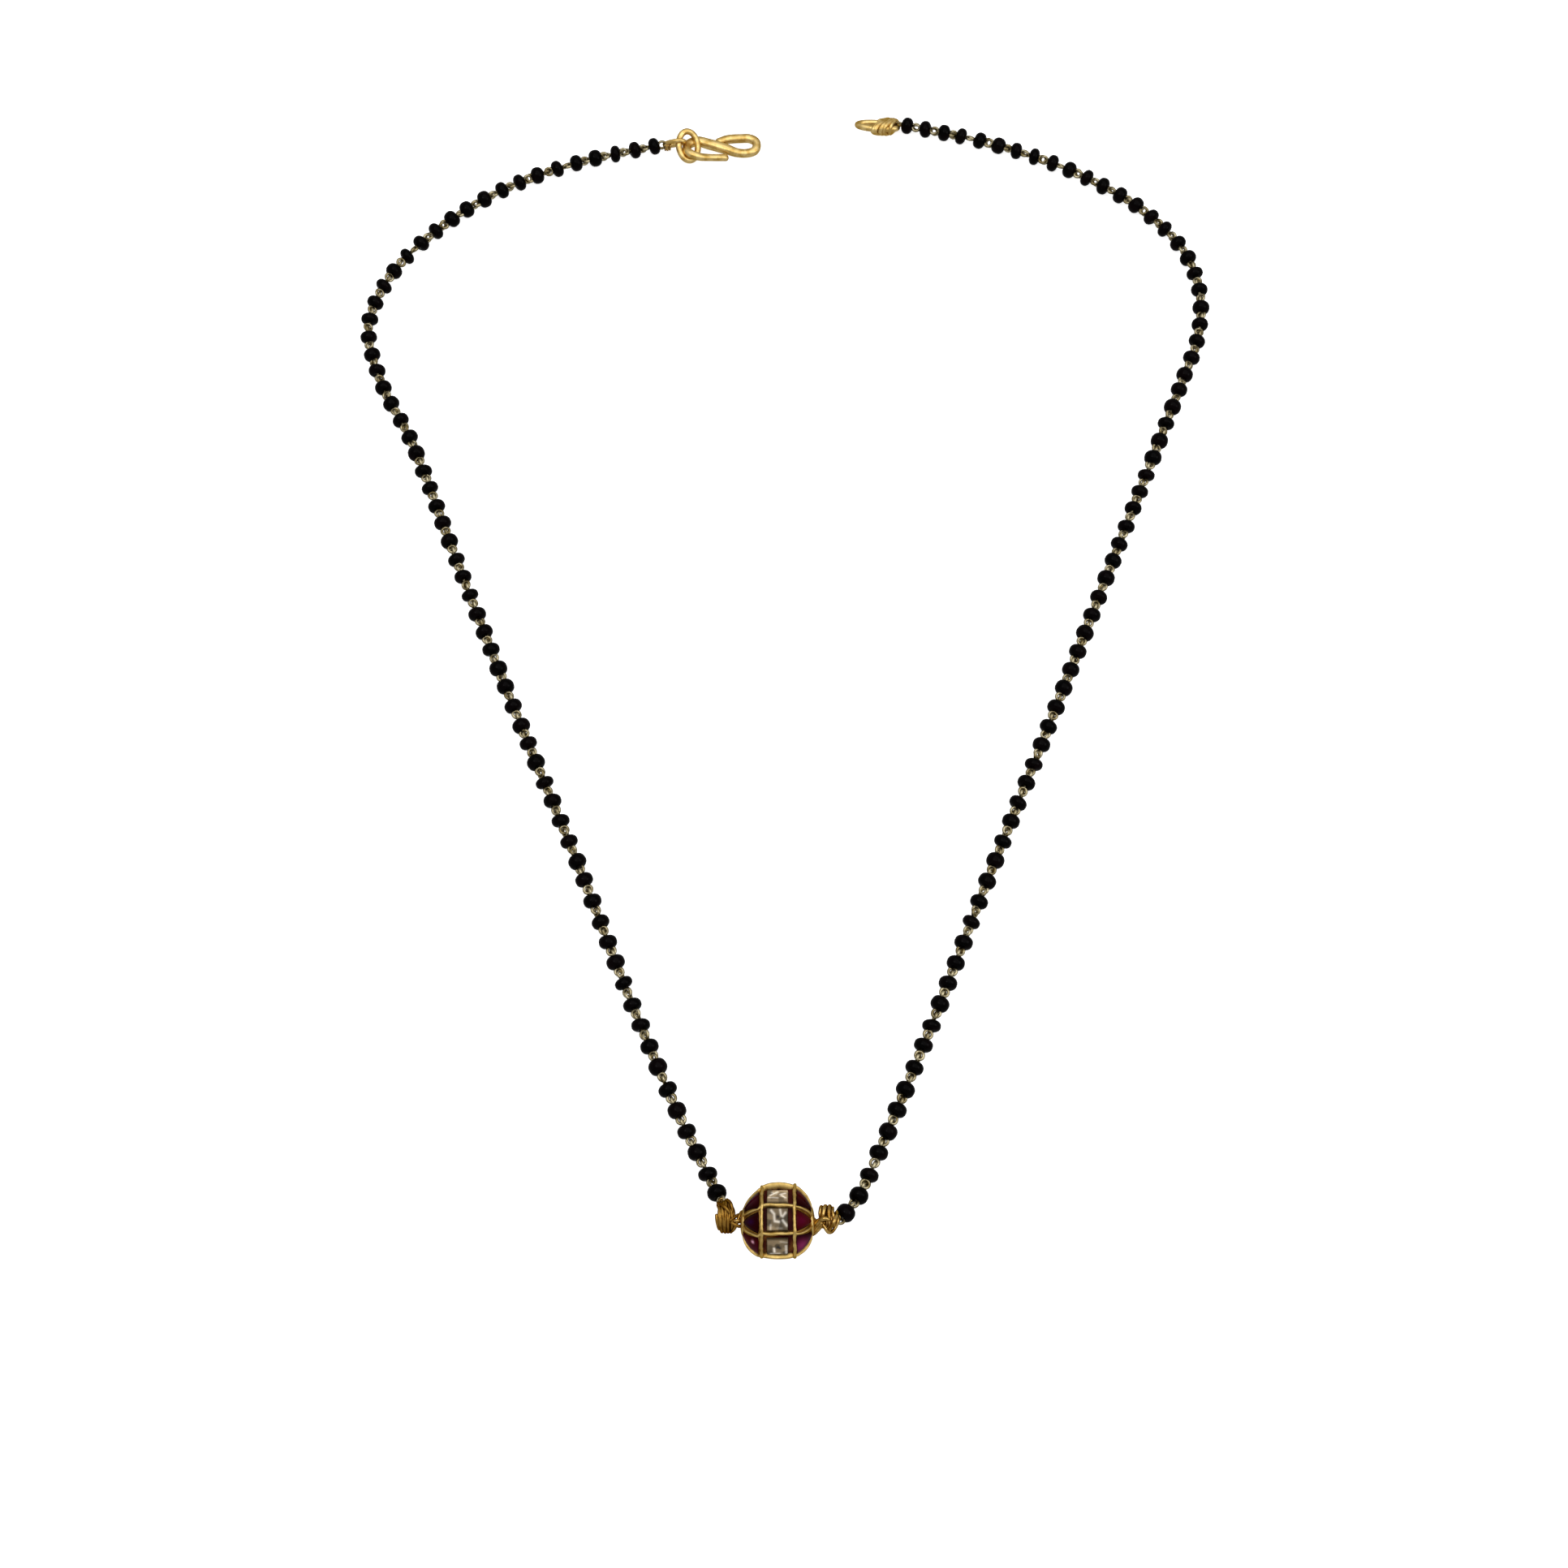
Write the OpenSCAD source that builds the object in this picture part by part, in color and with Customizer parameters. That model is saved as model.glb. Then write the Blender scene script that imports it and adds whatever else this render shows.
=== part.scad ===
// Short necklace of small black glass beads, linked one to the next by looped gold wire,
// with one stone-set gold ball at the front. It lies flat with its S-hook undone.
// Millimetres, +Z up, the surface that it lies on is at Z = 0, the ball is towards -Y.

/* [Bead chain] */
// Diameter of a black bead
bead_d = 2.5; // [2.3:0.1:2.6]
// Thickness of a bead along its wire
bead_t = 1.9; // [1.8:0.1:2]
// Radius of a bead's rounded rim
bead_rim = 0.7; // [0.6:0.05:0.75]
// Beads on the hook's side
beads_left = 65; // [60:1:68]
// Beads on the catch ring's side
beads_right = 69; // [64:1:72]
// Thickness of the looped wire between two beads
link_d = 0.7; // [0.5:0.1:0.8]

/* [Ball] */
// Diameter of the ball over its ribs, round the middle
ball_d = 9.9; // [9.7:0.1:10]
// Diameter of the sphere that rounds off its shoulders
shoulder_d = 10.2; // [10:0.1:10.3]
// Length of the ball from collar to collar
ball_w = 9.3; // [9.1:0.1:9.4]
// Thickness of a rib between two cells
rib_t = 0.42; // [0.3:0.02:0.5]
// Thickness of the two walls beside the middle band
wall_t = 0.5; // [0.4:0.05:0.6]
// Distance of each of those walls from the ball's middle
wall_x = 2.08; // [2:0.02:2.2]
// Distance of the stones' tops from the ball's centre
stone_top = 4.4; // [4.25:0.05:4.45]
// Depth of a stone
stone_h = 0.65; // [0.5:0.05:0.8]
// Side of a square clear stone
clear_side = 2.74; // [2.4:0.02:2.8]
// Diameter of the collar at each end of the ball
collar_d = 2.5; // [2.2:0.1:2.8]

/* [Clasp] */
// Thickness of the S-hook's wire
hook_d = 1.1; // [0.9:0.05:1.1]
// Thickness of the wire of the ring on the hook
ring_d = 0.76; // [0.6:0.02:0.76]
// Thickness of the catch ring's wire
catch_d = 0.9; // [0.8:0.05:0.9]
// Thickness of the wire wound round the catch ring
catch_wrap_d = 0.55; // [0.4:0.05:0.55]
// Thickness of the small wire loop at the hook's end of the chain
end_loop_d = 0.45; // [0.35:0.05:0.45]

/* [Hidden] */
// A ball has eight cells round its middle band and eight more on each side of it.
cells = 8;
cell_angle = 360 / cells;
half_cell = cell_angle / 2;
// The ball has come to rest with one cell turned a little towards the front.
cell_roll = 5;
// Space that each stone keeps from its seat and from the metal round it
seat_gap = 0.06;
// The side stones lie at half a right angle to the ball's length.
side_tilt = 45;
stone_bed = stone_top - stone_h - seat_gap;
// It rests on one rib, whose corner lies this far round from straight below the centre.
rib_corner = half_cell - cell_roll - asin(rib_t / ball_d);
ball_at = [-1, -85.5, ball_d / 2 * cos(rib_corner)];

// The soldered eyelet on each collar
eye_d = 0.4;
eye_r = 0.62;
eye_x = ball_w / 2 + eye_r - 0.1;

// Space between two pieces of the chain
piece_gap = 0.2;
// Facets round a wire
wire_sides = 8;
// Steps of a smooth route between two of its points
route_steps = 8;

// Where each side of the chain lies: across, along, and how far it is lifted off the surface.
// Both routes start at the clasp and end at the wound wire beside the ball.
LEFT_ROUTE = [
    [-19.5, 84.6, 0.1], [-33.5, 81, 0], [-45.5, 75.5, 0], [-55, 68, 0], [-61, 60.5, 0],
    [-64, 51, 0], [-62, 42.5, 0], [-56.5, 31.5, 0], [-48.5, 11.5, 0], [-39, -12, 0],
    [-29, -35.5, 0], [-19.5, -59, 0], [-13, -73.5, 0], [-10.2, -79, 0.5], [-8.9, -81.7, 1.6],
    [-8.3, -82.8, 2.3]
];
RIGHT_ROUTE = [
    [18.5, 88.7, 0.1], [34, 84.5, 0], [47.5, 78.5, 0], [57, 71.5, 0], [62.5, 64, 0],
    [64.2, 56.5, 0], [63.3, 49, 0], [60.5, 41.5, 0], [56.5, 31.5, 0], [47, 8, 0],
    [37.5, -15.5, 0], [28, -38.5, 0], [18.5, -62, 0], [12, -77, 0.1], [9.9, -81.5, 0.9],
    [7.8, -84.4, 2.1], [6.9, -85.2, 2.7]
];
// The beads of the right side hang a little closer together towards the clasp.
LEFT_SPREAD = 1;
RIGHT_SPREAD = 1.017;
// How far the wire reaches past the outer bead at each end of a side
END_REACH = 1.5;
// Each wire starts this far from its bead's middle
WIRE_START = 0.4;
// Each side is cut into this many solids of about a dozen beads
LEFT_PARTS = 6;
RIGHT_PARTS = 6;

// The S-hook's wire from its far free end, round the open loop, across and round the
// loop that the ring hangs in, to its near free end: across, along, and how far it is lifted.
HOOK_ROUTE = [
    [-10.3, 86.25, 0], [-7, 86.6, 0], [-5, 86.3, 0], [-4.2, 84.9, 0], [-5.2, 83.4, 0],
    [-7.2, 83.2, 0], [-9.6, 84.4, 0], [-12.2, 85.5, 0], [-14.2, 85.8, 0.05],
    [-15.6, 84.8, 0.35], [-15.5, 83.1, 0.85], [-13.9, 82.2, 1], [-11.6, 82.3, 0.5],
    [-9.4, 82.5, 0.1]
];

// Oval rings of wire: middle, half length and half width, and how far the +X end and
// the +Y end are lifted above the middle.
HOOK_RING = [[-15.4, 84.3, 1.5], 1.5, 2.1, -0.45, 0.85];
CATCH_RING = [[14.4, 88.8, 1.1], 2.8, 1.2, 0.5, 0];
// The loop at the end of the chain stands upright, so its last value is its half height.
END_LOOP = [[-17.6, 84.55, 1.8], 1.5, 0.92, 0.4];

// The wire wound round both sides of the catch ring: turns, and where it starts and ends,
// measured along from the ring's middle
CATCH_WRAP = [4, 0.1, 2.55];
// How quickly it turns from flat over the ring to round beside it
WRAP_FLATNESS = 2.5;
// Space between that wire and the ring
WRAP_CLEARANCE = 0.1;

// The wire wound between each eyelet and the chain: the side's sign, turns, length, radius,
// stand-off from the eyelet, turn towards the back and droop.
WRAP_LEFT = [-1, 4.5, 2.1, 1.6, 0.6, 20, 24];
WRAP_RIGHT = [1, 4.5, 2.2, 1.4, 0.4, 3, 12];
wrap_d = 0.42;
wrap_steps = 16;
// How far in front of the eyelet each of them starts
WRAP_START = 0.55;

GOLD = [0.86, 0.65, 0.28];
PALE_GOLD = [0.84, 0.74, 0.5];
BLACK = [0.05, 0.05, 0.06];
RUBY = [0.45, 0, 0.15];
CLEAR = [0.85, 0.85, 0.8];

// Directions and smooth routes

function unit(v) = v / norm(v);

// Slope of a smooth curve at point i of a route, weighted by the lengths on both sides
function route_slope(p, i) =
    i == 0 ? unit(p[1] - p[0]) :
    i == len(p) - 1 ? unit(p[i] - p[i - 1]) :
    let (before = norm(p[i] - p[i - 1]), after = norm(p[i + 1] - p[i]))
    ((p[i + 1] - p[i]) / after * before + (p[i] - p[i - 1]) / before * after) / (before + after);

// Point at share t of the curve between two points of a route
function curve_point(a, b, slope_a, slope_b, t) =
    let (h = norm(b - a), u = t * t, w = u * t)
    a * (2 * w - 3 * u + 1) + slope_a * h * (w - 2 * u + t)
    + b * (3 * u - 2 * w) + slope_b * h * (w - u);

function smooth_route(p) = concat(
    [for (i = [0:len(p) - 2]) for (s = [0:route_steps - 1])
        curve_point(p[i], p[i + 1], route_slope(p, i), route_slope(p, i + 1), s / route_steps)],
    [p[len(p) - 1]]
);

// Centres of what lies along a route that gives lifts off the surface, never sunk into it
function lifted(p, radius) = [for (q = p) [q.x, q.y, max(q.z, 0) + radius]];

function step_length(path, i) = i > 0 && i < len(path) ? norm(path[i] - path[i - 1]) : 0;

// Length along a path up to each of its points
function lengths_along(path) =
    [for (i = 0, s = 0; i < len(path); i = i + 1, s = s + step_length(path, i)) s];

function place_at(path, along, s) =
    [for (axis = [0:2]) lookup(s, [for (i = [0:len(path) - 1]) [along[i], path[i][axis]]])];

// Distances along a route of its beads
function bead_distances(total, count, spread) =
    [for (i = [0:count - 1]) END_REACH + (total - 2 * END_REACH) * pow(i / (count - 1), spread)];

function bead_places(route, count, spread) =
    let (
        path = lifted(smooth_route(route), bead_d / 2),
        along = lengths_along(path),
        total = along[len(along) - 1]
    )
    [for (s = bead_distances(total, count, spread)) place_at(path, along, s)];

// Wires swept along a path

// Corners of the wire's section at point i; side is a direction that the wire never takes
function wire_section(path, i, thickness, side, closed) =
    let (
        n = len(path),
        ahead = path[closed ? (i + 1) % n : min(i + 1, n - 1)],
        behind = path[closed ? (i + n - 1) % n : max(i - 1, 0)],
        run = unit(ahead - behind),
        across = unit(side - (side * run) * run),
        up = cross(run, across)
    )
    [for (k = [0:wire_sides - 1]) let (a = 360 * k / wire_sides)
        path[i] + thickness / 2 * (cos(a) * across + sin(a) * up)];

// sides gives one direction for each point of the path
module wire(path, thickness, sides, closed = false) {
    n = len(path);
    corners = [for (i = [0:n - 1]) each wire_section(path, i, thickness, sides[i], closed)];
    walls = [for (i = [0:closed ? n - 1 : n - 2]) for (k = [0:wire_sides - 1])
        let (a = i * wire_sides, b = (i + 1) % n * wire_sides, next = (k + 1) % wire_sides)
        [a + k, b + k, b + next, a + next]];
    first_cap = [for (k = [0:wire_sides - 1]) k];
    last_cap = [for (k = [wire_sides - 1:-1:0]) (n - 1) * wire_sides + k];
    polyhedron(corners, closed ? walls : concat(walls, [first_cap, last_cap]), convexity = 6);
}

function same_side(path, side) = [for (p = path) side];

// Point of an oval ring at angle a
function oval_point(oval, a) =
    oval[0] + [oval[1] * cos(a), oval[2] * sin(a), oval[3] * cos(a) + oval[4] * sin(a)];

function oval_path(oval, steps = 32) = [for (i = [0:steps - 1]) oval_point(oval, 360 * i / steps)];

// Bead chain

module bead_shape() {
    straight = bead_t / 2 - bead_rim;
    rotate_extrude($fn = 32) union() {
        intersection() {
            for (side = [-1, 1]) translate([bead_d / 2 - bead_rim, side * straight])
                circle(r = bead_rim, $fn = 24);
            translate([0, -bead_t / 2]) square([bead_d / 2, bead_t]);
        }
        translate([0, -bead_t / 2]) square([bead_d / 2 - bead_rim, bead_t]);
        translate([0, -straight]) square([bead_d / 2, 2 * straight]);
    }
}

module pointed_along(at, run) {
    translate(at) rotate([0, acos(run.z), atan2(run.y, run.x)]) children();
}

// Looped wire seen as one round bar, from inside the bead at one end to a point beyond it
module wire_end(from, to) {
    run = unit(to - from);
    length = norm(to - from) - WIRE_START;
    pointed_along(from + run * WIRE_START, run) cylinder(d = link_d, h = length, $fn = 16);
}

module link_wire(from, to) {
    run = unit(to - from);
    wire_end(from, to - run * WIRE_START);
}

// Beads first to last of one side, on their wire, with a gap to the neighbouring solid
module strand(route, count, spread, first, last) {
    ends = lifted([route[0], route[len(route) - 1]], bead_d / 2);
    beads = concat([ends[0]], bead_places(route, count, spread), [ends[1]]);
    for (i = [first + 1:last + 1]) {
        color(BLACK) pointed_along(beads[i], unit(beads[i + 1] - beads[i - 1])) bead_shape();
    }
    color(PALE_GOLD) {
        for (i = [first + 1:last]) link_wire(beads[i], beads[i + 1]);
        wire_end(beads[first + 1], first == 0 ? beads[0] : half_way(beads[first + 1], beads[first]));
        wire_end(beads[last + 1], last == count - 1 ? beads[count + 1]
            : half_way(beads[last + 1], beads[last + 2]));
    }
}

function half_way(from, to) = from + unit(to - from) * (norm(to - from) - piece_gap) / 2;

function part_start(count, parts, i) = floor(count * (i - 1) / parts);

module strand_left(i) {
    strand(LEFT_ROUTE, beads_left, LEFT_SPREAD,
        part_start(beads_left, LEFT_PARTS, i), part_start(beads_left, LEFT_PARTS, i + 1) - 1);
}

module strand_right(i) {
    strand(RIGHT_ROUTE, beads_right, RIGHT_SPREAD,
        part_start(beads_right, RIGHT_PARTS, i), part_start(beads_right, RIGHT_PARTS, i + 1) - 1);
}

// Ball

module in_ball() {
    translate(ball_at) rotate([cell_roll, 0, 0]) children();
}

// A cone of eight flats with its point on the ball's axis, towards +X
module flat_sided_cone() {
    point_x = stone_bed / sin(side_tilt);
    base_x = -ball_w;
    translate([base_x, 0, 0]) rotate([0, 90, 0]) rotate(half_cell)
        cylinder(r1 = (point_x - base_x) / cos(half_cell), r2 = 0, h = point_x - base_x, $fn = cells);
}

// The body under the stones: every stone has a flat of its own to sit on
module ball_bed() {
    intersection() {
        rotate([0, 90, 0]) rotate(half_cell)
            cylinder(r = stone_bed / cos(half_cell), h = ball_w, center = true, $fn = cells);
        flat_sided_cone();
        mirror([1, 0, 0]) flat_sided_cone();
    }
}

module ribs_and_walls() {
    for (k = [1:cells / 2]) rotate([(k - 0.5) * cell_angle, 0, 0])
        cube([ball_w, rib_t, ball_d + 1], center = true);
    for (side = [-1, 1]) translate([side * wall_x, 0, 0])
        cube([wall_t, ball_d + 1, ball_d + 1], center = true);
}

// A barrel round its middle, rounded off by the sphere of its shoulders
module ball_outline() {
    rotate([0, 90, 0]) rotate_extrude($fn = 96) intersection() {
        circle(d = shoulder_d, $fn = 96);
        translate([0, -ball_w / 2]) square([ball_d / 2, ball_w]);
    }
}

module ball_setting() {
    collar_l = 0.7;
    color(GOLD) {
        in_ball() {
            intersection() {
                ball_outline();
                ribs_and_walls();
            }
            ball_bed();
            for (side = [-1, 1]) translate([side * (ball_w - collar_l) / 2, 0, 0]) rotate([0, 90, 0])
                cylinder(d = collar_d, h = collar_l, center = true, $fn = 48);
        }
        for (side = [-1, 1]) translate(ball_at + [side * eye_x, 0, 0]) rotate([90, 0, 0])
            rotate_extrude($fn = 40) translate([eye_r, 0]) circle(d = eye_d, $fn = 16);
    }
}

// The space between two neighbouring ribs, as seen along the ball, less the stones' gap
module cell_opening() {
    reach = ball_d / 2;
    clearance = (rib_t / 2 + seat_gap) / cos(half_cell);
    polygon([
        [0, clearance / tan(half_cell)],
        [reach * tan(half_cell) - clearance, reach],
        [clearance - reach * tan(half_cell), reach]
    ]);
}

// Square stone with a level table and a bevel on its four sides
module clear_stone(i) {
    bevel_h = stone_h * 0.45;
    table_share = 0.6;
    color(CLEAR) in_ball() rotate([(i - 1) * cell_angle, 0, 0]) intersection() {
        union() {
            translate([0, 0, stone_top - (stone_h + bevel_h) / 2])
                cube([clear_side, clear_side, stone_h - bevel_h], center = true);
            translate([0, 0, stone_top - bevel_h])
                linear_extrude(bevel_h, scale = table_share) square(clear_side, center = true);
        }
        rotate([90, 0, 90]) linear_extrude(ball_d, center = true) cell_opening();
    }
}

// Flat stone that fills a side cell: its section along the ball, narrowed between two ribs
module ruby_stone(side, i) {
    near_x = wall_x + wall_t / 2 + seat_gap;
    far_x = 4.3;
    top = stone_top / sin(side_tilt);
    bed = (stone_top - stone_h) / sin(side_tilt);
    far_bed_x = far_x - stone_h * cos(side_tilt);
    color(RUBY) in_ball() rotate([(i - 1) * cell_angle, 0, 0]) mirror([side < 0 ? 1 : 0, 0, 0])
        intersection() {
            rotate([90, 0, 0]) linear_extrude(ball_d, center = true)
                polygon([[near_x, top - near_x], [far_x, top - far_x],
                    [far_bed_x, bed - far_bed_x], [near_x, bed - near_x]]);
            rotate([90, 0, 90]) linear_extrude(ball_d) cell_opening();
        }
}

// Wound wires beside the ball

// The wire crosses the eyelet, swings out to the full radius and winds on from there
function wound_path(turns, length, radius, standoff) =
    let (swing = 75, steps = turns * wrap_steps)
    concat(
        [[0, -WRAP_START, 0]],
        [for (i = [0:steps])
            let (a = i * 360 / wrap_steps, share = 1 - pow(1 - min(a / swing, 1), 2))
            [standoff * share + length * i / steps, radius * share * cos(a), radius * share * sin(a)]]
    );

module wrap_link(wrap) {
    path = wound_path(wrap[1], wrap[2], wrap[3], wrap[4]);
    color(GOLD) translate(ball_at + [wrap[0] * eye_x, 0, 0]) mirror([wrap[0] < 0 ? 1 : 0, 0, 0])
        rotate([0, wrap[6], wrap[5]]) wire(path, wrap_d, same_side(path, [1, 0, 0]));
}

// Clasp

module end_loop() {
    steps = 24;
    path = [for (i = [0:steps - 1]) let (a = 360 * i / steps)
        END_LOOP[0] + [END_LOOP[1] * cos(a), 0, END_LOOP[2] * sin(a) + END_LOOP[3] * cos(a)]];
    color(GOLD) wire(path, end_loop_d, same_side(path, [0, 1, 0]), closed = true);
}

module hook_ring() {
    path = oval_path(HOOK_RING);
    color(GOLD) wire(path, ring_d, same_side(path, [0, 0, 1]), closed = true);
}

module s_hook() {
    path = lifted(smooth_route(HOOK_ROUTE), hook_d / 2);
    thinned = [for (i = [0:2:len(path) - 1]) path[i]];
    color(GOLD) wire(thinned, hook_d, same_side(thinned, [0, 0, 1]));
}

module catch_ring() {
    path = oval_path(CATCH_RING);
    color(GOLD) wire(path, catch_d, same_side(path, [0, 0, 1]), closed = true);
}

// A helix round both sides of the ring, which draws in with the ring's outline
module catch_wrap() {
    steps = CATCH_WRAP[0] * wrap_steps;
    reach = (catch_d + catch_wrap_d) / 2 + WRAP_CLEARANCE;
    path = [for (i = [0:steps])
        let (
            x = CATCH_WRAP[1] + (CATCH_WRAP[2] - CATCH_WRAP[1]) * i / steps,
            share = x / CATCH_RING[1],
            half_y = CATCH_RING[2] * sqrt(max(0, 1 - share * share)),
            turn = 360 * i / wrap_steps,
            flat = min(1, max(-1, WRAP_FLATNESS * cos(turn)))
        )
        CATCH_RING[0] + [x, half_y * flat + reach * cos(turn),
            CATCH_RING[3] * share + reach * sin(turn)]];
    color(GOLD) wire(path, catch_wrap_d, same_side(path, [1, 0, 0]));
}

ball_setting();
for (i = [1:cells]) {
    clear_stone(i);
    ruby_stone(-1, i);
    ruby_stone(1, i);
}
wrap_link(WRAP_LEFT);  // wrap_link_left
wrap_link(WRAP_RIGHT);  // wrap_link_right
for (i = [1:LEFT_PARTS]) {
    strand_left(i);
}
for (i = [1:RIGHT_PARTS]) {
    strand_right(i);
}
end_loop();
hook_ring();
s_hook();
catch_ring();
catch_wrap();
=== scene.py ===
"""Looks of a short necklace of black glass beads with one stone-set gold ball.

It lies flat with its S-hook undone. The CAD's frame holds: +Y runs from the ball to the
clasp, +X is the catch ring's side, +Z is up and the surface is at Z = 0. Paths and
sizes are worked out in millimetres and become metres where a mesh is made.
"""

import math

import bmesh
import bpy
import numpy as np
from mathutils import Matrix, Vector


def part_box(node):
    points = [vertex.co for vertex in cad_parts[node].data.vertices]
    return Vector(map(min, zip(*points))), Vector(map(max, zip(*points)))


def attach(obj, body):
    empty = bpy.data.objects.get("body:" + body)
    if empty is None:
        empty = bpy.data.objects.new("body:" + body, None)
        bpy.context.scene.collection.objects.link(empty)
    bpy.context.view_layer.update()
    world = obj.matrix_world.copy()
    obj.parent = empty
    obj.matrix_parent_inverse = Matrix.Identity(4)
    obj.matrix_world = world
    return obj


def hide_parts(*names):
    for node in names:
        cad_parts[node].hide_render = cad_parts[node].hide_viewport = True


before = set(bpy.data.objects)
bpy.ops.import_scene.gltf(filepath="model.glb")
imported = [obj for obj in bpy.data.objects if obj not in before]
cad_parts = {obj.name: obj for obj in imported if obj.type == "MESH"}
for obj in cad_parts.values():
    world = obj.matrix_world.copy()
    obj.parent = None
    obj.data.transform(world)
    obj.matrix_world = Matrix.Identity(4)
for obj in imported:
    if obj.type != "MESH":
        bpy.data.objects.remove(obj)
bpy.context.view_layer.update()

MM = 0.001
# Which way along X each side lies
SIDES = {"left": -1, "right": 1}

# Bead chain
BEAD_D = 2.64
BEAD_T = 2.2
BEAD_HOLE = 0.75
WIRE_D = 0.44
EYE_LENGTH = 1.6
EYE_WIDTH = 1.56
# Distance of an eye's centre from the middle of its bead
EYE_AT = 1.36
BEADS = {"left": 65, "right": 69}
# Above 1, a side's beads stand a little closer near the clasp than near the ball
SPREAD = {"left": 1.0, "right": 1.017}
# Solids that the CAD joins each side's beads in
PARTS = 6
# From the middle of a side's last bead to the end of its wire
END_REACH = 1.5
# Each side's line from the clasp to the ball: x, y and lift off the surface
ROUTE = {
    "left": [
        (-19.5, 84.6, 0.1), (-33.5, 81, 0), (-45.5, 75.5, 0), (-55, 68, 0), (-61, 60.5, 0),
        (-64, 51, 0), (-62, 42.5, 0), (-56.5, 31.5, 0), (-48.5, 11.5, 0), (-39, -12, 0),
        (-29, -35.5, 0), (-19.5, -59, 0), (-13, -73.5, 0), (-10.2, -79, 0.5),
        (-8.9, -81.7, 1.6), (-8.3, -82.8, 2.3),
    ],
    "right": [
        (18.15, 88.6, 0.1), (34, 84.5, 0), (47.5, 78.5, 0), (57, 71.5, 0), (62.5, 64, 0),
        (64.2, 56.5, 0), (63.3, 49, 0), (60.5, 41.5, 0), (56.5, 31.5, 0), (47, 8, 0),
        (37.5, -15.5, 0), (28, -38.5, 0), (18.5, -62, 0), (12, -77, 0.1), (9.9, -81.5, 0.9),
        (7.8, -84.4, 2.1), (6.9, -85.2, 2.7),
    ],
}

# Ball
BALL_AT = np.array([-1.0, -85.65, 4.78])
# How much deeper the ball is from front to back than it is high
BALL_SPREAD = 1.04
# The ribs' tops keep inside a barrel, a sphere and two flat ends
BARREL_R = 5.1
SHOULDER_R = 5.0
END_X = 4.72
CELLS = 8
CELL_ANGLE = 360 / CELLS
HALF_CELL = CELL_ANGLE / 2
# How far the ball has rolled about its wires
CELL_ROLL = 5
# The ribs' angles from the top towards the front
RIB_TURNS = [22.5, 75, 114, 157.5, 202.5, 246, 287, 337.5]
# The ribs of each side are set a little further round than those of the middle band
SIDE_TURN = {"left": 6.0, "right": 1.5}
WALL_X = 2.08
# How far the two walls sit towards the right of the ball's middle
WALL_SHIFT = 0.085
WALL_W = 0.44
# How much lower a wall is half way between two ribs
WALL_DIP = 0.1
RIB_W = 0.42
RIB_DEPTH = 1.0
# Degrees from the pole to a rib's end
RIB_START = 11
# Beside a wall a rib thins to this share of its width, over this length
SIDE_RIB_SHARE = 0.66
RIB_TAPER = 0.5
# How far below the ribs' tops the pressed-in gold lies
WEB_DEPTH = 0.36
# From the ball's axis to the lac and to the clear stones' tops
BED_R = 3.69
STONE_TOP = 4.2
STONE_HALF = 1.37
# A red stone runs from beside its wall to near the pole
RUBY_NEAR = 2.3
RUBY_FAR = 4.36
RUBY_HALF = 1.46
# In a wide cell it is wider, by this factor at most
RUBY_WIDEST = 1.14
EYELET_X = 5.17
EYELET_R = 0.62
EYELET_D = 0.4

# Clasp
HOOK_W = 1.24
HOOK_H = 1.16
# Points of the hook's wire: x, y, lift off the surface and share of its full thickness
HOOK_ROUTE = [
    (-10.6, 85.8, 0, 0.95), (-9.3, 86.18, 0, 1.08), (-7.2, 86.38, 0, 1.08), (-5.5, 86.32, 0, 1.08),
    (-4.68, 85.75, 0, 1.08), (-4.52, 84.9, 0, 1.08), (-4.85, 84.05, 0, 1.08), (-5.8, 83.62, 0, 1.06),
    (-7.3, 83.6, 0, 1.06), (-9.4, 84.28, 0, 1.26), (-12.1, 85.2, 0, 1.3), (-14.2, 85.75, 0.05, 1.2),
    (-15.55, 84.8, 0.35, 1.14), (-15.4, 83.1, 0.85, 1.1), (-13.9, 82.25, 1, 0.98),
    (-11.6, 82.45, 0.5, 0.86), (-9.5, 82.75, 0.1, 0.86),
]
RING_D = 1.0
HOOK_RING = ((-15.4, 84.3, 1.5), (1.5, 0, -0.45), (0, 2.1, 0.85))
CATCH_D = 1.0
CATCH_WRAP_W = 0.76
CATCH_WRAP_H = 0.6
CATCH_WRAP_TIP = 0.66
# Lowest that the middle of the wire round the catch ring comes
CATCH_WRAP_LOW = 0.33
# The catch ring leans, with its front edge off the surface
CATCH_RING = ((14.8, 88.4, 1.15), (3.14, -0.35, 0.1), (0.12, 1.05, -0.6))
END_LOOP_D = 0.66
END_LOOP = ((-17.6, 84.6, 1.8), (1.6, 0, 0.4), (0, -0.25, 0.85))
END_TURN_D = 0.34
END_TURNS_AT = np.array([-18.75, 84.5, 1.15])

# Wires wound and tied beside the ball; a strand's own thickness is worked out from WOUND_D
WOUND_D = 0.4
SKEIN_D = 0.46
TIE_D = 0.36


# Materials


def new_material(name):
    """An empty material with its surface shader's inputs."""
    material = bpy.data.materials.new(name)
    material.use_nodes = True
    return material, material.node_tree, material.node_tree.nodes["Principled BSDF"].inputs


def object_noise(tree, scale, detail=2.0):
    """Soft noise that stays put on the piece; scale is in cycles a metre."""
    place = tree.nodes.new("ShaderNodeTexCoord")
    noise = tree.nodes.new("ShaderNodeTexNoise")
    noise.inputs["Scale"].default_value = scale
    noise.inputs["Detail"].default_value = detail
    tree.links.new(place.outputs["Object"], noise.inputs["Vector"])
    return noise.outputs["Fac"]


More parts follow.
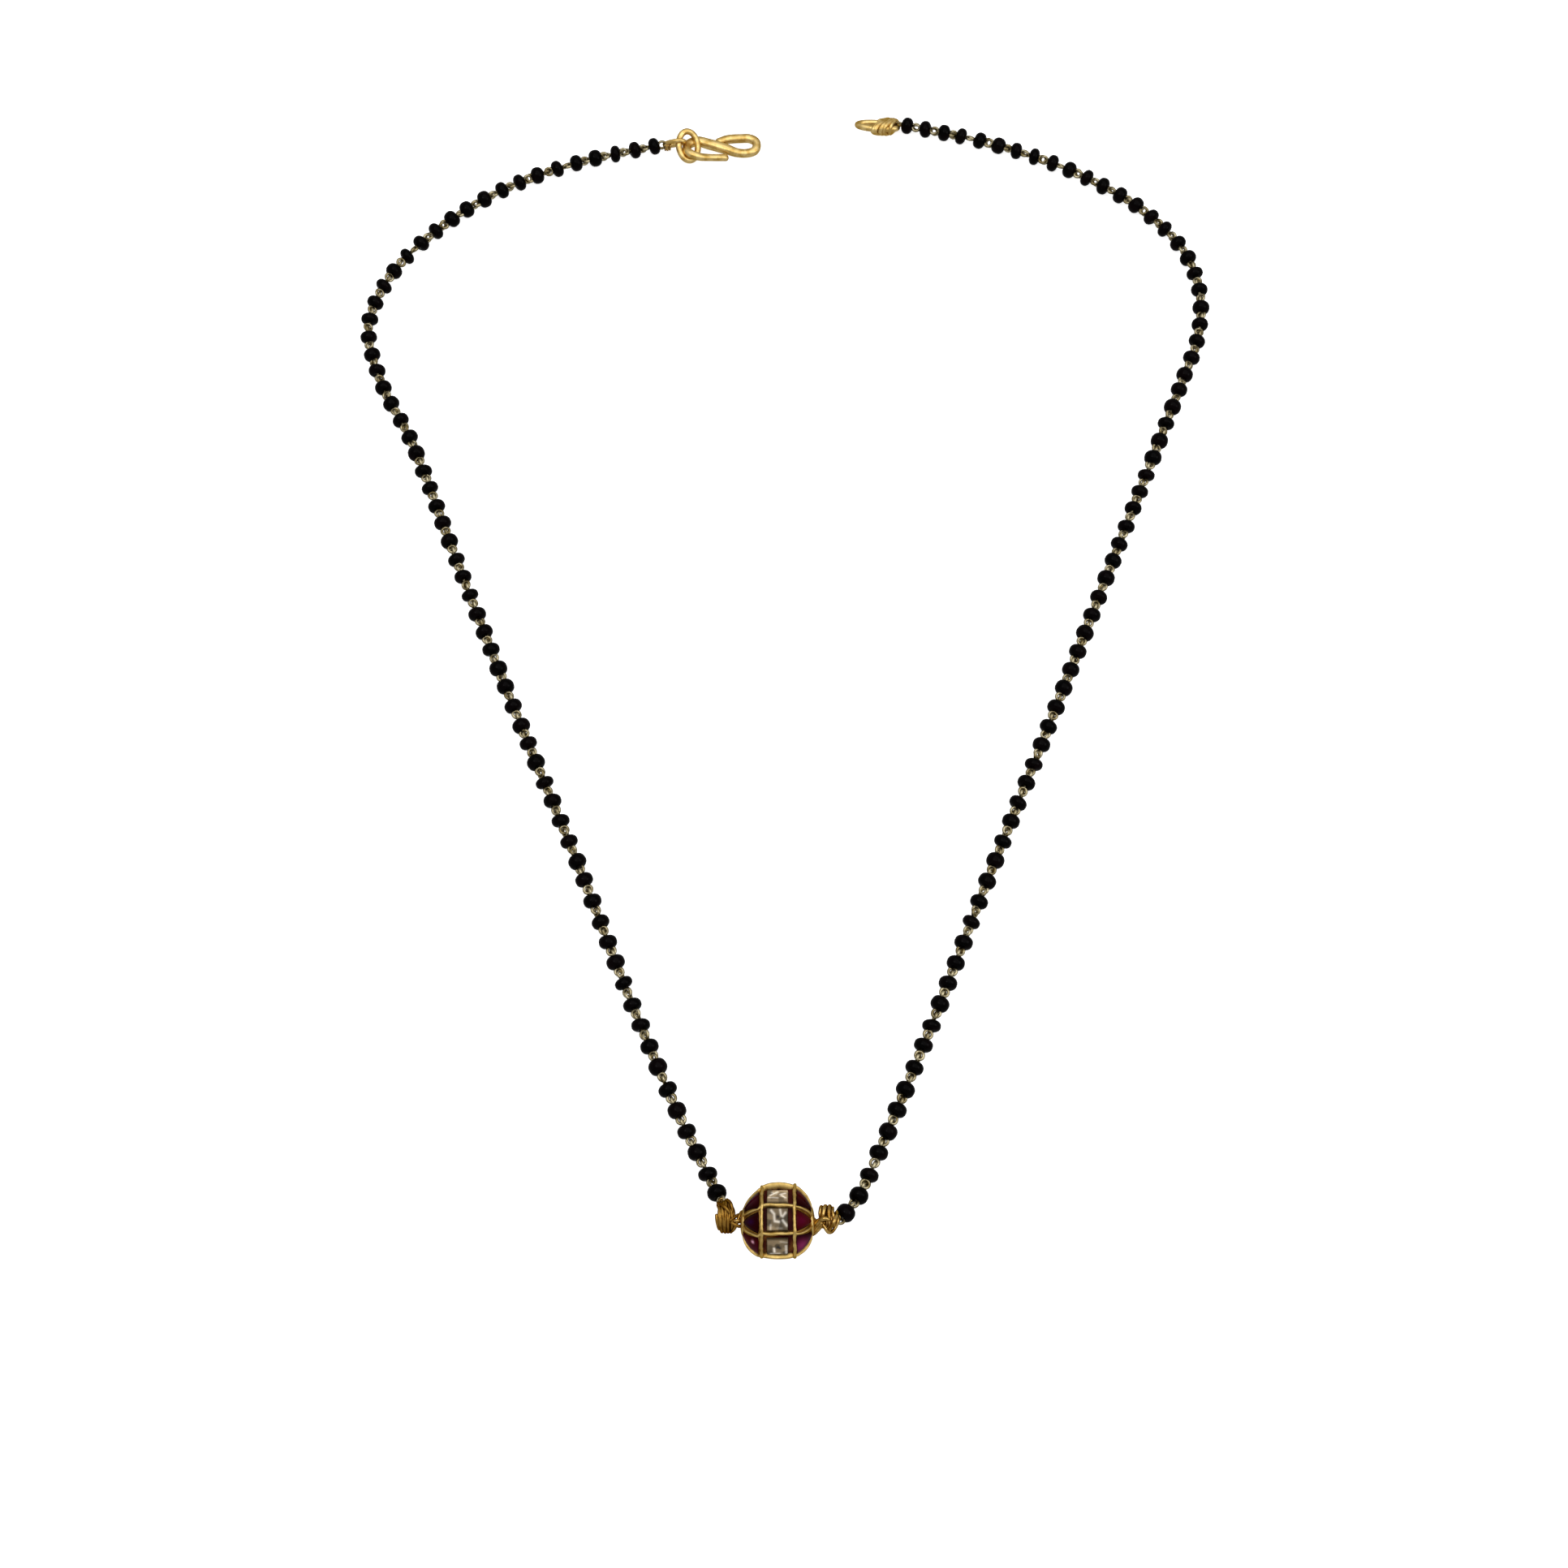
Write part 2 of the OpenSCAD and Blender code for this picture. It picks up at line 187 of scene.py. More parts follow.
def ramp(tree, factor, stops):
    """A colour ramp with (position, colour) stops, driven by factor."""
    node = tree.nodes.new("ShaderNodeValToRGB")
    elements = node.color_ramp.elements
    while len(elements) < len(stops):
        elements.new(0.5)
    for element, (position, colour) in zip(elements, stops):
        element.position = position
        element.color = (*colour, 1)
    tree.links.new(factor, node.inputs["Fac"])
    return node.outputs["Color"]


def add_bump(tree, shader, height, distance, strength=0.5):
    """Small dents of the surface, as deep as distance in metres."""
    bump = tree.nodes.new("ShaderNodeBump")
    bump.inputs["Strength"].default_value = strength
    bump.inputs["Distance"].default_value = distance
    tree.links.new(height, bump.inputs["Height"])
    tree.links.new(bump.outputs["Normal"], shader["Normal"])


def painted(tree, shader, attribute):
    """Feeds the surface its colour from the mesh's own attribute."""
    paint = tree.nodes.new("ShaderNodeAttribute")
    paint.attribute_name = attribute
    tree.links.new(paint.outputs["Color"], shader["Base Color"])


def gold(name, light, deep, edge, roughness, dent=0.00002):
    """Hand-worked gold whose tone drifts between two colours."""
    material, tree, shader = new_material(name)
    colour = ramp(tree, object_noise(tree, 900), [(0.38, deep), (0.6, light)])
    tree.links.new(colour, shader["Base Color"])
    shader["Metallic"].default_value = 1.0
    shader["Roughness"].default_value = roughness
    shader["Specular Tint"].default_value = (*edge, 1)
    add_bump(tree, shader, object_noise(tree, 2400, 1.0), dent)
    return material


def black_glass():
    """Glossy glass, black with a breath of warm brown."""
    material, tree, shader = new_material("black_glass")
    stops = [(0.4, (0.0004, 0.0002, 0.0002)), (0.65, (0.002, 0.0006, 0.0008))]
    tree.links.new(ramp(tree, object_noise(tree, 350), stops), shader["Base Color"])
    shader["Roughness"].default_value = 0.22
    shader["IOR"].default_value = 1.11
    return material


def ruby():
    """Dark red stone; the attribute glow says where light comes back out of it."""
    material, tree, shader = new_material("ruby_stone")
    painted(tree, shader, "glow")
    shader["Roughness"].default_value = 0.12
    shader["IOR"].default_value = 1.12
    shader["Specular Tint"].default_value = (1.0, 0.4, 0.5, 1)
    return material


def lac_and_shade_bed():
    """Dark red lac, painted dark as the shade in the gaps beside the stones, with painted glints of
    lit gold here and there.
    """
    material, tree, shader = new_material("dark_red_lac_and_painted_shade")
    # The dark stops are lac and painted shade; the gold-brown stop paints glints of lit gold
    stops = [(0.38, (0.03, 0.001, 0.001)), (0.55, (0.07, 0.008, 0.003)), (0.7, (0.2, 0.08, 0.012))]
    tree.links.new(ramp(tree, object_noise(tree, 420, 1.0), stops), shader["Base Color"])
    shader["Roughness"].default_value = 0.4
    shader["IOR"].default_value = 1.12
    return material


def clear_stone_material():
    """Clear stone over silver foil; the attribute tone holds its painted reflections, the light that
    its facets throw back painted into its colour.
    """
    material, tree, shader = new_material("clear_stone")
    painted(tree, shader, "tone")
    shader["Roughness"].default_value = 0.3
    shader["IOR"].default_value = 1.15
    shader["Coat Weight"].default_value = 0.12
    shader["Coat Roughness"].default_value = 0.06
    return material


BALL_GOLD = gold("ball_gold", (0.68, 0.48, 0.165), (0.5, 0.33, 0.095), (0.7, 0.5, 0.15), 0.44)
COIL_GOLD = gold("wound_wire_gold", (0.58, 0.38, 0.12), (0.24, 0.12, 0.018), (0.6, 0.35, 0.1), 0.26)
HANK_GOLD = gold("hank_gold", (0.35, 0.19, 0.035), (0.16, 0.07, 0.008), (0.5, 0.3, 0.08), 0.32)
CLASP_GOLD = gold("clasp_gold", (0.84, 0.62, 0.25), (0.58, 0.37, 0.1), (0.6, 0.42, 0.12), 0.38)
# The web's gold is a darker copy of the ball's gold, as painted shade for its sunken place
WEB_GOLD_SHADED = gold("web_gold_painted_shade", (0.36, 0.21, 0.055), (0.18, 0.09, 0.013), (0.5, 0.35, 0.1), 0.42)
CHAIN_GOLD = gold("chain_wire_gold", (0.47, 0.41, 0.26), (0.2, 0.155, 0.07), (0.42, 0.36, 0.2), 0.32)
BLACK = black_glass()
RUBY = ruby()
LAC_AND_SHADE = lac_and_shade_bed()
CLEAR = clear_stone_material()


# Smooth paths


def unit(v):
    v = np.asarray(v, float)
    return v / np.linalg.norm(v, axis=-1, keepdims=True)


def smooth_route(points, steps=8):
    """Points along a smooth curve through the route's points, slopes weighted by length."""
    p = np.array(points, float)
    step = np.linalg.norm(np.diff(p, axis=0), axis=1)[:, None]
    run = np.diff(p, axis=0) / step
    slope = np.vstack([
        run[:1],
        (run[1:] * step[:-1] + run[:-1] * step[1:]) / (step[:-1] + step[1:]),
        run[-1:],
    ])
    curve = []
    for i, h in enumerate(step[:, 0]):
        for t in np.arange(steps) / steps:
            t2, t3 = t * t, t * t * t
            curve.append(
                p[i] * (2 * t3 - 3 * t2 + 1) + slope[i] * h * (t3 - 2 * t2 + t)
                + p[i + 1] * (3 * t2 - 2 * t3) + slope[i + 1] * h * (t3 - t2)
            )
    return np.array([*curve, p[-1]])


def lifted(path, radius):
    """The centres of what lies along a path of lifts off the surface."""
    return np.column_stack([path[:, :2], np.maximum(path[:, 2], 0) + radius])


def bead_places(side):
    """Centres of a side's beads, with the wire's two ends before and after them."""
    path = lifted(smooth_route(ROUTE[side]), BEAD_D / 2)
    along = np.concatenate([[0], np.cumsum(np.linalg.norm(np.diff(path, axis=0), axis=1))])
    count = BEADS[side]
    share = (np.arange(count) / (count - 1)) ** SPREAD[side]
    stops = END_REACH + (along[-1] - 2 * END_REACH) * share
    stops = np.concatenate([[0], stops, [along[-1]]])
    return np.column_stack([np.interp(stops, along, path[:, k]) for k in range(3)])


def oval_path(oval, steps=64):
    """Points round an oval given by its centre and its two half axes."""
    centre, half_x, half_y = (np.array(v, float) for v in oval)
    a = np.radians(np.arange(steps) * 360 / steps)[:, None]
    return centre + half_x * np.cos(a) + half_y * np.sin(a)


def wobble(t, seed, size):
    """A slow drift, as a hand leaves in a strip or a wire."""
    return size * (np.sin(3.1 * t + seed * 2.3) + 0.6 * np.sin(7.3 * t + seed * 5.1)) / 1.6


# Geometry node trees


def new_tree(name, sizes):
    """A tree that takes a mesh and named inputs, and the sockets at its two ends."""
    tree = bpy.data.node_groups.new(name, "GeometryNodeTree")
    panel = tree.interface
    panel.new_socket("Geometry", in_out="INPUT", socket_type="NodeSocketGeometry")
    for label, (kind, value) in sizes.items():
        socket = panel.new_socket(label, in_out="INPUT", socket_type=kind)
        if value is not None:
            socket.default_value = value
    panel.new_socket("Geometry", in_out="OUTPUT", socket_type="NodeSocketGeometry")
    return tree, tree.nodes.new("NodeGroupInput").outputs, tree.nodes.new("NodeGroupOutput").inputs


def add(tree, kind, feeds=None, **settings):
    """A node whose inputs take either another node's output or a value."""
    node = tree.nodes.new(kind)
    for key, value in settings.items():
        setattr(node, key, value)
    for key, value in (feeds or {}).items():
        if isinstance(value, bpy.types.NodeSocket):
            tree.links.new(value, node.inputs[key])
        else:
            node.inputs[key].default_value = value
    return node


def math_node(tree, operation, a, b=0.0):
    return add(tree, "ShaderNodeMath", {0: a, 1: b}, operation=operation).outputs[0]


def times(tree, a, b):
    return math_node(tree, "MULTIPLY", a, b)


def vector_node(tree, x=0.0, y=0.0, z=0.0):
    return add(tree, "ShaderNodeCombineXYZ", {0: x, 1: y, 2: z}).outputs[0]


def signed_power(tree, value, power):
    """The value raised to a power, with its sign kept."""
    raised = math_node(tree, "POWER", math_node(tree, "ABSOLUTE", value), power)
    return times(tree, raised, math_node(tree, "SIGN", value))


def close_tree(tree, geometry, material, outlet):
    """Realize Instances and Set Material, which every tree ends in."""
    real = add(tree, "GeometryNodeRealizeInstances", {"Geometry": geometry})
    done = add(tree, "GeometryNodeSetMaterial", {"Geometry": real.outputs[0], "Material": material})
    tree.links.new(done.outputs[0], outlet["Geometry"])
    return tree


def shaded_smooth(tree, geometry):
    return add(tree, "GeometryNodeSetShadeSmooth", {"Geometry": geometry}).outputs[0]


def placed_along(tree, points, instance, turn, scale):
    """Copies at the points: +Z along the attribute run, +Y as near to up as it can be."""
    run = add(tree, "GeometryNodeInputNamedAttribute", {"Name": "run"}, data_type="FLOAT_VECTOR")
    aimed = add(tree, "FunctionNodeAlignRotationToVector", {"Vector": run.outputs[0]}, axis="Z")
    level = add(
        tree, "FunctionNodeAlignRotationToVector",
        {"Rotation": aimed.outputs[0], "Vector": (0.0, 0.0, 1.0)}, axis="Y", pivot_axis="Z",
    )
    turned = add(
        tree, "FunctionNodeRotateRotation",
        {"Rotation": level.outputs[0], "Rotate By": turn}, rotation_space="LOCAL",
    )
    return add(
        tree, "GeometryNodeInstanceOnPoints",
        {"Points": points, "Instance": instance, "Rotation": turned.outputs[0], "Scale": scale},
    ).outputs[0]


def drawn(tree, low, high, seed, more):
    """A number drawn for each copy between low and high, with a seed of seed + more."""
    return add(tree, "FunctionNodeRandomValue",
               {2: low, 3: high, "Seed": math_node(tree, "ADD", seed, more)},
               data_type="FLOAT").outputs[1]


def bead_shape(tree, given):
    """One flattened bead with full sides, sunk a little towards its hole."""
    ball = add(tree, "GeometryNodeMeshUVSphere", {"Segments": 20, "Rings": 12, "Radius": 1.0})
    spot = add(tree, "ShaderNodeSeparateXYZ", {0: add(tree, "GeometryNodeInputPosition").outputs[0]})
    x, y, z = spot.outputs
    squares = math_node(tree, "ADD", times(tree, x, x), times(tree, y, y))
    out = math_node(tree, "SQRT", squares)
    half_d = times(tree, given["Diameter"], 0.5)
    half_t = times(tree, given["Thickness"], 0.5)
    height = times(tree, signed_power(tree, z, given["Fullness"]), half_t)
    rim = math_node(tree, "DIVIDE", given["Hole"], given["Diameter"])
    dimple = add(tree, "ShaderNodeMapRange",
                 {"Value": out, "From Max": rim, "To Min": given["Dimple"]})
    shape = vector_node(
        tree, times(tree, x, half_d), times(tree, y, half_d), times(tree, height, dimple.outputs[0]),
    )
    feeds = {"Geometry": ball.outputs[0], "Position": shape}
    return add(tree, "GeometryNodeSetPosition", feeds).outputs[0]


def bead_tree():
    """Flattened glass beads, each leaning and slid its own way on the wire."""
    tree, given, outlet = new_tree("glass_beads", {
        "Diameter": ("NodeSocketFloat", BEAD_D * MM),
        "Thickness": ("NodeSocketFloat", BEAD_T * MM),
        "Hole": ("NodeSocketFloat", BEAD_HOLE * MM),
        "Fullness": ("NodeSocketFloat", 0.8),
        "Dimple": ("NodeSocketFloat", 0.35),
        "Lean": ("NodeSocketFloat", math.radians(14)),
        "Size Drift": ("NodeSocketFloat", 0.04),
        "Thickness Drift": ("NodeSocketFloat", 0.24),
        "Thickest": ("NodeSocketFloat", 1.05),
        "Slide": ("NodeSocketFloat", 0.17 * MM),
        "Seed": ("NodeSocketInt", 1),
        "Material": ("NodeSocketMaterial", None),
    })
    bead = shaded_smooth(tree, bead_shape(tree, given))
    low = times(tree, given["Lean"], -1.0)
    turn = add(tree, "FunctionNodeRandomValue", {
        0: vector_node(tree, low, low, 0.0),
        1: vector_node(tree, given["Lean"], given["Lean"], math.tau),
        "Seed": given["Seed"],
    }, data_type="FLOAT_VECTOR")
    lean = add(tree, "FunctionNodeEulerToRotation", {0: turn.outputs[0]})
    across = drawn(tree, math_node(tree, "SUBTRACT", 1.0, given["Size Drift"]), 1.0,
                   given["Seed"], 50.0)
    along = drawn(tree, math_node(tree, "SUBTRACT", 1.0, given["Thickness Drift"]), given["Thickest"],
                  given["Seed"], 80.0)
    beads = placed_along(tree, given["Geometry"], bead, lean.outputs[0],
                         vector_node(tree, across, across, along))
    back = times(tree, given["Slide"], -1.0)
    slide = drawn(tree, back, given["Slide"], given["Seed"], 110.0)
    beads = add(tree, "GeometryNodeTranslateInstances", {
        "Instances": beads, "Translation": vector_node(tree, z=slide), "Local Space": True,
    }).outputs[0]
    return close_tree(tree, beads, given["Material"], outlet)


def eye_shape(tree, given):
    """A straight wire with an oval eye at each end, the one square to the other."""
    radius = times(tree, given["Wire"], 0.5)
    half_length, half_width = (
        times(tree, math_node(tree, "SUBTRACT", given[size], given["Wire"]), 0.5)
        for size in ("Eye Length", "Eye Width")
    )
    circle = add(tree, "GeometryNodeCurvePrimitiveCircle", {"Resolution": 16, "Radius": 1.0})
    oval = add(tree, "GeometryNodeTransform", {
        "Geometry": circle.outputs[0], "Scale": vector_node(tree, half_width, half_length, 1.0),
    })
    section = add(tree, "GeometryNodeCurvePrimitiveCircle", {"Resolution": 8, "Radius": radius})
    eye = add(tree, "GeometryNodeCurveToMesh",
              {"Curve": oval.outputs[0], "Profile Curve": section.outputs[0]})
    joined = add(tree, "GeometryNodeJoinGeometry")
    for sign, turn in ((1.0, 0.0), (-1.0, math.pi / 2)):
        reach = vector_node(tree, z=times(tree, given["Eye Distance"], sign))
        placed = add(tree, "GeometryNodeTransform", {
            "Geometry": eye.outputs[0], "Translation": reach, "Rotation": (math.pi / 2, 0.0, turn),
        })
        tree.links.new(placed.outputs[0], joined.inputs[0])
    stem_half = math_node(tree, "SUBTRACT", given["Eye Distance"], half_length)
    stem = add(tree, "GeometryNodeMeshCylinder", {
        "Vertices": 6, "Radius": radius, "Depth": times(tree, stem_half, 2.0),
    })
    tree.links.new(stem.outputs[0], joined.inputs[0])
    return joined.outputs[0]


def eye_tree():
    """A wire through each bead with an oval eye at both ends, one lying and one upright."""
    tree, given, outlet = new_tree("wire_eyes", {
        "Wire": ("NodeSocketFloat", WIRE_D * MM),
        "Eye Length": ("NodeSocketFloat", EYE_LENGTH * MM),
        "Eye Width": ("NodeSocketFloat", EYE_WIDTH * MM),
        "Eye Distance": ("NodeSocketFloat", EYE_AT * MM),
        "Roll Drift": ("NodeSocketFloat", math.radians(38)),
        "Seed": ("NodeSocketInt", 1),
        "Material": ("NodeSocketMaterial", None),
    })
    pin = shaded_smooth(tree, eye_shape(tree, given))
    back = times(tree, given["Roll Drift"], -1.0)
    roll = drawn(tree, back, given["Roll Drift"], given["Seed"], 0.0)
    rotation = add(tree, "FunctionNodeEulerToRotation", {0: vector_node(tree, z=roll)})
    pins = placed_along(tree, given["Geometry"], pin, rotation.outputs[0], (1.0, 1.0, 1.0))
    return close_tree(tree, pins, given["Material"], outlet)


def wire_tree():
    """A wire along the mesh's edges, its height along the attribute up, thicker by swell."""
    tree, given, outlet = new_tree("swept_wire", {
        "Width": ("NodeSocketFloat", MM),
        "Height": ("NodeSocketFloat", MM),
        "Sides": ("NodeSocketInt", 12),
        "Roundness": ("NodeSocketFloat", 1.0),
        "Material": ("NodeSocketMaterial", None),
    })
    up = add(tree, "GeometryNodeInputNamedAttribute", {"Name": "up"}, data_type="FLOAT_VECTOR")
    swell = add(tree, "GeometryNodeInputNamedAttribute", {"Name": "swell"}, data_type="FLOAT")
    line = add(tree, "GeometryNodeMeshToCurve", {"Mesh": given["Geometry"]})
    aimed = add(tree, "GeometryNodeSetCurveNormal",
                {"Curve": line.outputs[0], "Normal": up.outputs[0]}, mode="FREE")
    circle = add(tree, "GeometryNodeCurvePrimitiveCircle",
                 {"Resolution": given["Sides"], "Radius": 1.0})
    spot = add(tree, "ShaderNodeSeparateXYZ", {0: add(tree, "GeometryNodeInputPosition").outputs[0]})
    corner = vector_node(tree, *(
        times(tree, signed_power(tree, spot.outputs[axis], given["Roundness"]),
              times(tree, given[size], 0.5))
        for axis, size in ((0, "Height"), (1, "Width"))
    ))
    section = add(tree, "GeometryNodeSetPosition", {"Geometry": circle.outputs[0], "Position": corner})
    swept = add(tree, "GeometryNodeCurveToMesh", {
        "Curve": aimed.outputs[0], "Profile Curve": section.outputs[0],
        "Scale": swell.outputs[0], "Fill Caps": True,
    })
    return close_tree(tree, shaded_smooth(tree, swept.outputs[0]), given["Material"], outlet)


BEAD_TREE = bead_tree()
EYE_TREE = eye_tree()
WIRE_TREE = wire_tree()


# Pieces


def mesh_of(name, points, edges=(), faces=(), **values):
    """A mesh from points in millimetres, with a vector or number attribute for each point."""
    mesh = bpy.data.meshes.new(name)
    mesh.from_pydata((np.asarray(points, float) * MM).tolist(), list(edges), list(faces))
    for label, value in values.items():
        value = np.asarray(value, float)
        kind = "FLOAT_VECTOR" if value.ndim == 2 else "FLOAT"
        layer = mesh.attributes.new(label, kind, "POINT")
        layer.data.foreach_set("vector" if value.ndim == 2 else "value", value.ravel())
    return mesh


def paint(mesh, label, colours):
    """Gives each point of the mesh its colour."""
    layer = mesh.color_attributes.new(label, "FLOAT_COLOR", "POINT")
    colours = np.column_stack([colours, np.ones(len(colours))])
    layer.data.foreach_set("color", colours.ravel())


def close_body(mesh, material, smooth):
    """Gives a closed mesh its finish, turns its faces outwards and says which are smooth."""
    mesh.materials.append(material)
    work = bmesh.new()
    work.from_mesh(mesh)
    bmesh.ops.recalc_face_normals(work, faces=work.faces)
    work.to_mesh(mesh)
    work.free()
    mesh.polygons.foreach_set("use_smooth", smooth)


def grid_faces(rows, across):
    """The four-sided faces of a grid of points laid row after row."""
    firsts = [i * across + j for i in range(rows - 1) for j in range(across - 1)]
    return [(a, a + 1, a + 1 + across, a + across) for a in firsts]


def grid_rim(rows, across):
    """The points round the edge of such a grid, in order."""
    size = rows * across
    return [*range(across), *range(2 * across - 1, size, across),
            *range(size - 2, size - across - 1, -1), *range(size - 2 * across, 0, -across)]


def place(name, mesh):
    """A piece of its own, at the origin, made of the mesh."""
    piece = bpy.data.objects.new(name, mesh)
    bpy.context.scene.collection.objects.link(piece)
    return piece


def declare(piece, nodes=()):
    """Rides the piece on the body and hides the CAD nodes that it stands for."""
    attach(piece, "root")
    if nodes:
        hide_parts(*nodes)
    return piece


def grown(name, base, tree, **sizes):
    """The plain mesh that a tree grows from a base mesh, as a piece of its own."""
    seed = place(name + "_base", base)
    modifier = seed.modifiers.new("tree", "NODES")
    modifier.node_group = tree
    for label, value in sizes.items():
        socket = tree.interface.items_tree[label.replace("_", " ")]
        modifier[socket.identifier] = value
    evaluated = seed.evaluated_get(bpy.context.evaluated_depsgraph_get())
    mesh = bpy.data.meshes.new_from_object(evaluated)
    bpy.data.objects.remove(seed)
    for label in [a.name for a in mesh.attributes]:
        if label in ("up", "swell", "run"):
            mesh.attributes.remove(mesh.attributes[label])
    return place(name, mesh)


def wire(name, paths, ups, width, height, material, closed=False, swells=None, sides=12,
         roundness=1.0):
    """One piece swept along one or more paths; ups gives each path's direction of height."""
    points, edges, up, swell = [], [], [], []
    for k, path in enumerate(paths):
        first, n = len(points), len(path)
        points.extend(path)
        up.extend(np.broadcast_to(ups[k], (n, 3)))
        swell.extend(np.ones(n) if swells is None else swells[k])
        last = n if closed else n - 1
        edges.extend((first + i, first + (i + 1) % n) for i in range(last))
    base = mesh_of(name, points, edges, up=up, swell=swell)
    return grown(name, base, WIRE_TREE, Width=width * MM, Height=height * MM, Sides=sides,
                 Roundness=roundness, Material=material)


def blunt(path, thickness, swell=1.0):
    """The path with its two ends rounded off, and how thick the wire is at each point."""
    path = np.asarray(path, float)
    angles = np.radians([90, 70, 50, 30, 12])
    reach, thin = thickness / 2 * np.sin(angles), np.maximum(np.cos(angles), 0.02)
    start, end = unit(path[0] - path[1]), unit(path[-1] - path[-2])
    swell = np.broadcast_to(swell, len(path))
    head = path[0] + start * reach[:, None] * swell[0]
    tail = (path[-1] + end * reach[:, None] * swell[-1])[::-1]
    swell = np.concatenate([thin * swell[0], swell, thin[::-1] * swell[-1]])
    return np.vstack([head, path, tail]), swell


# Bead chain


def part_start(count, i):
    """The first bead of a side's solid i, shared out as the CAD does."""
    return count * i // PARTS


def make_chain(side):
    """Each solid of a side gets a piece of beads and a piece of looped wire."""
    places = bead_places(side)
    runs = unit(places[2:] - places[:-2])
    beads = places[1:-1]
    count = BEADS[side]
    for i in range(PARTS):
        part = slice(part_start(count, i), part_start(count, i + 1))
        label = f"{side}_{i + 1}"
        seed = 10 * i + (3 if side == "left" else 7)
        base = mesh_of("bead_points", beads[part], run=runs[part])
        glass = grown(f"black_beads_{label}", base, BEAD_TREE, Seed=seed, Material=BLACK)
        declare(glass, [f"strand_{label}"])
        base = mesh_of("eye_points", beads[part], run=runs[part])
        pins = grown(f"wire_eyes_{label}", base, EYE_TREE, Seed=seed, Material=CHAIN_GOLD)
        declare(pins)


for side in SIDES:
    make_chain(side)


# Ball


def turned_about_x(points, degrees):
    a = math.radians(degrees)
    x, y, z = np.asarray(points, float).T
    return np.column_stack([x, y * math.cos(a) - z * math.sin(a), y * math.sin(a) + z * math.cos(a)])


def rolled(points):
    """From the ball's own axes to where it has come to rest."""
    return turned_about_x(points, CELL_ROLL)


# Hand work: the ball is flatter at its back left shoulder and a little fuller at four other
# places. Each has its direction, its depth, below 0 where the ball is fuller, and its width.
SHOULDERS = [
    ((-0.68, 0.72, 0.15), 0.065, 0.42), ((0.5, 0.85, 0.15), -0.035, 0.42),
    ((-0.2, 0.98, 0.15), -0.035, 0.4),
    ((-0.7, -0.7, 0.1), -0.035, 0.5), ((0.7, -0.7, 0.1), -0.045, 0.55),
]


def on_ball(points):
    """Points about the ball's centre, rolled, shaped by hand and put in place."""
    points = rolled(points) * [1, BALL_SPREAD, 1]
    away = points / np.maximum(np.linalg.norm(points, axis=1, keepdims=True), 1e-6)
    shrink = np.zeros(len(points))
    for direction, depth, width in SHOULDERS:
        off = np.linalg.norm(away - unit(direction), axis=1)
        shrink += depth * np.exp(-((off / width) ** 2))
    return BALL_AT + points * (1 - shrink)[:, None]


def about_axis(x, r, degrees):
    """Points at radius r from the ball's axis, turned from +Z towards -Y."""
    a = np.radians(degrees)
    return np.column_stack(np.broadcast_arrays(x, -r * np.sin(a), r * np.cos(a)))


def ball_reach(theta):
    """From the centre to the ribs' tops, at an angle of theta from the axis."""
    sharpness = 14
    limits = [BARREL_R / np.sin(theta), SHOULDER_R + 0 * theta, END_X / np.abs(np.cos(theta))]
    return sum(limit ** -sharpness for limit in limits) ** (-1 / sharpness)


def make_ribs():
    """Eight ribs from pole to pole and two ring walls, hand-bent and burnished round."""
    theta = np.radians(np.linspace(RIB_START, 180 - RIB_START, 90))
    beside = np.clip((np.abs(SHOULDER_R * np.cos(theta)) - WALL_X) / RIB_TAPER, 0, 1)
    paths, swells = [], []
    for k in range(CELLS):
        swell = 1 - (1 - SIDE_RIB_SHARE) * beside
        swell = swell + wobble(theta * 4, k + 9, 0.1) + wobble(theta * 11, k, 0.06)
        turn = RIB_TURNS[k] + np.degrees(wobble(theta * 2, k, 0.014))
        turn = turn + np.where(np.cos(theta) > 0, SIDE_TURN["left"], SIDE_TURN["right"]) * beside
        r = ball_reach(theta) - RIB_DEPTH / 2 * swell
        paths.append(about_axis(-r * np.cos(theta), r * np.sin(theta), turn))
        swells.append(swell)
    ribs = wire("ball_ribs", [on_ball(p) for p in paths], [unit(rolled(p)) for p in paths],
                RIB_W, RIB_DEPTH, BALL_GOLD, swells=swells, roundness=0.6)
    declare(ribs, ["ball_setting"])
    paths, swells = [], []
    around = np.arange(0, 360, 3.0)
    lean = math.acos(WALL_X / SHOULDER_R)
    r = ball_reach(lean) - RIB_DEPTH / 2
    for side in SIDES.values():
        a = np.radians(around)
        x = side * (WALL_X + wobble(a * 3, side + 4, 0.05)) + WALL_SHIFT
        straight = WALL_DIP * np.cos(a * CELLS / 2) ** 2
        paths.append(about_axis(x, r * math.sin(lean) - straight, around))
        swells.append(1 + wobble(a * 4, side + 6, 0.1) + wobble(a * 13, side + 2, 0.09))
    out = rolled(about_axis(0, 1, around))
    walls = wire("ball_walls", [on_ball(p) for p in paths], [out, out],
                 WALL_W, RIB_DEPTH, BALL_GOLD, closed=True, swells=swells, roundness=0.6)
    return declare(walls)


def turned_body(name, rows, sides, offset, material, smooth):
    """A closed body turned about the ball's axis from rows of (x, radius)."""
    angles = offset + np.arange(sides) * 360 / sides
    points = [about_axis(x, r, angles) for x, r in rows]
    points = np.vstack([*points, [[rows[0][0], 0, 0], [rows[-1][0], 0, 0]]])
    faces = []
    for i in range(len(rows) - 1):
        for k in range(sides):
            a, b = i * sides + k, i * sides + (k + 1) % sides
            faces.append((a, b, b + sides, a + sides))
    first, last = len(rows) * sides, len(rows) * sides + 1
    top = (len(rows) - 1) * sides
    for k in range(sides):
        faces.append((first, (k + 1) % sides, k))
        faces.append((last, top + k, top + (k + 1) % sides))
    mesh = mesh_of(name, on_ball(points), faces=faces)
    close_body(mesh, material, [smooth] * len(faces))
    return place(name, mesh)


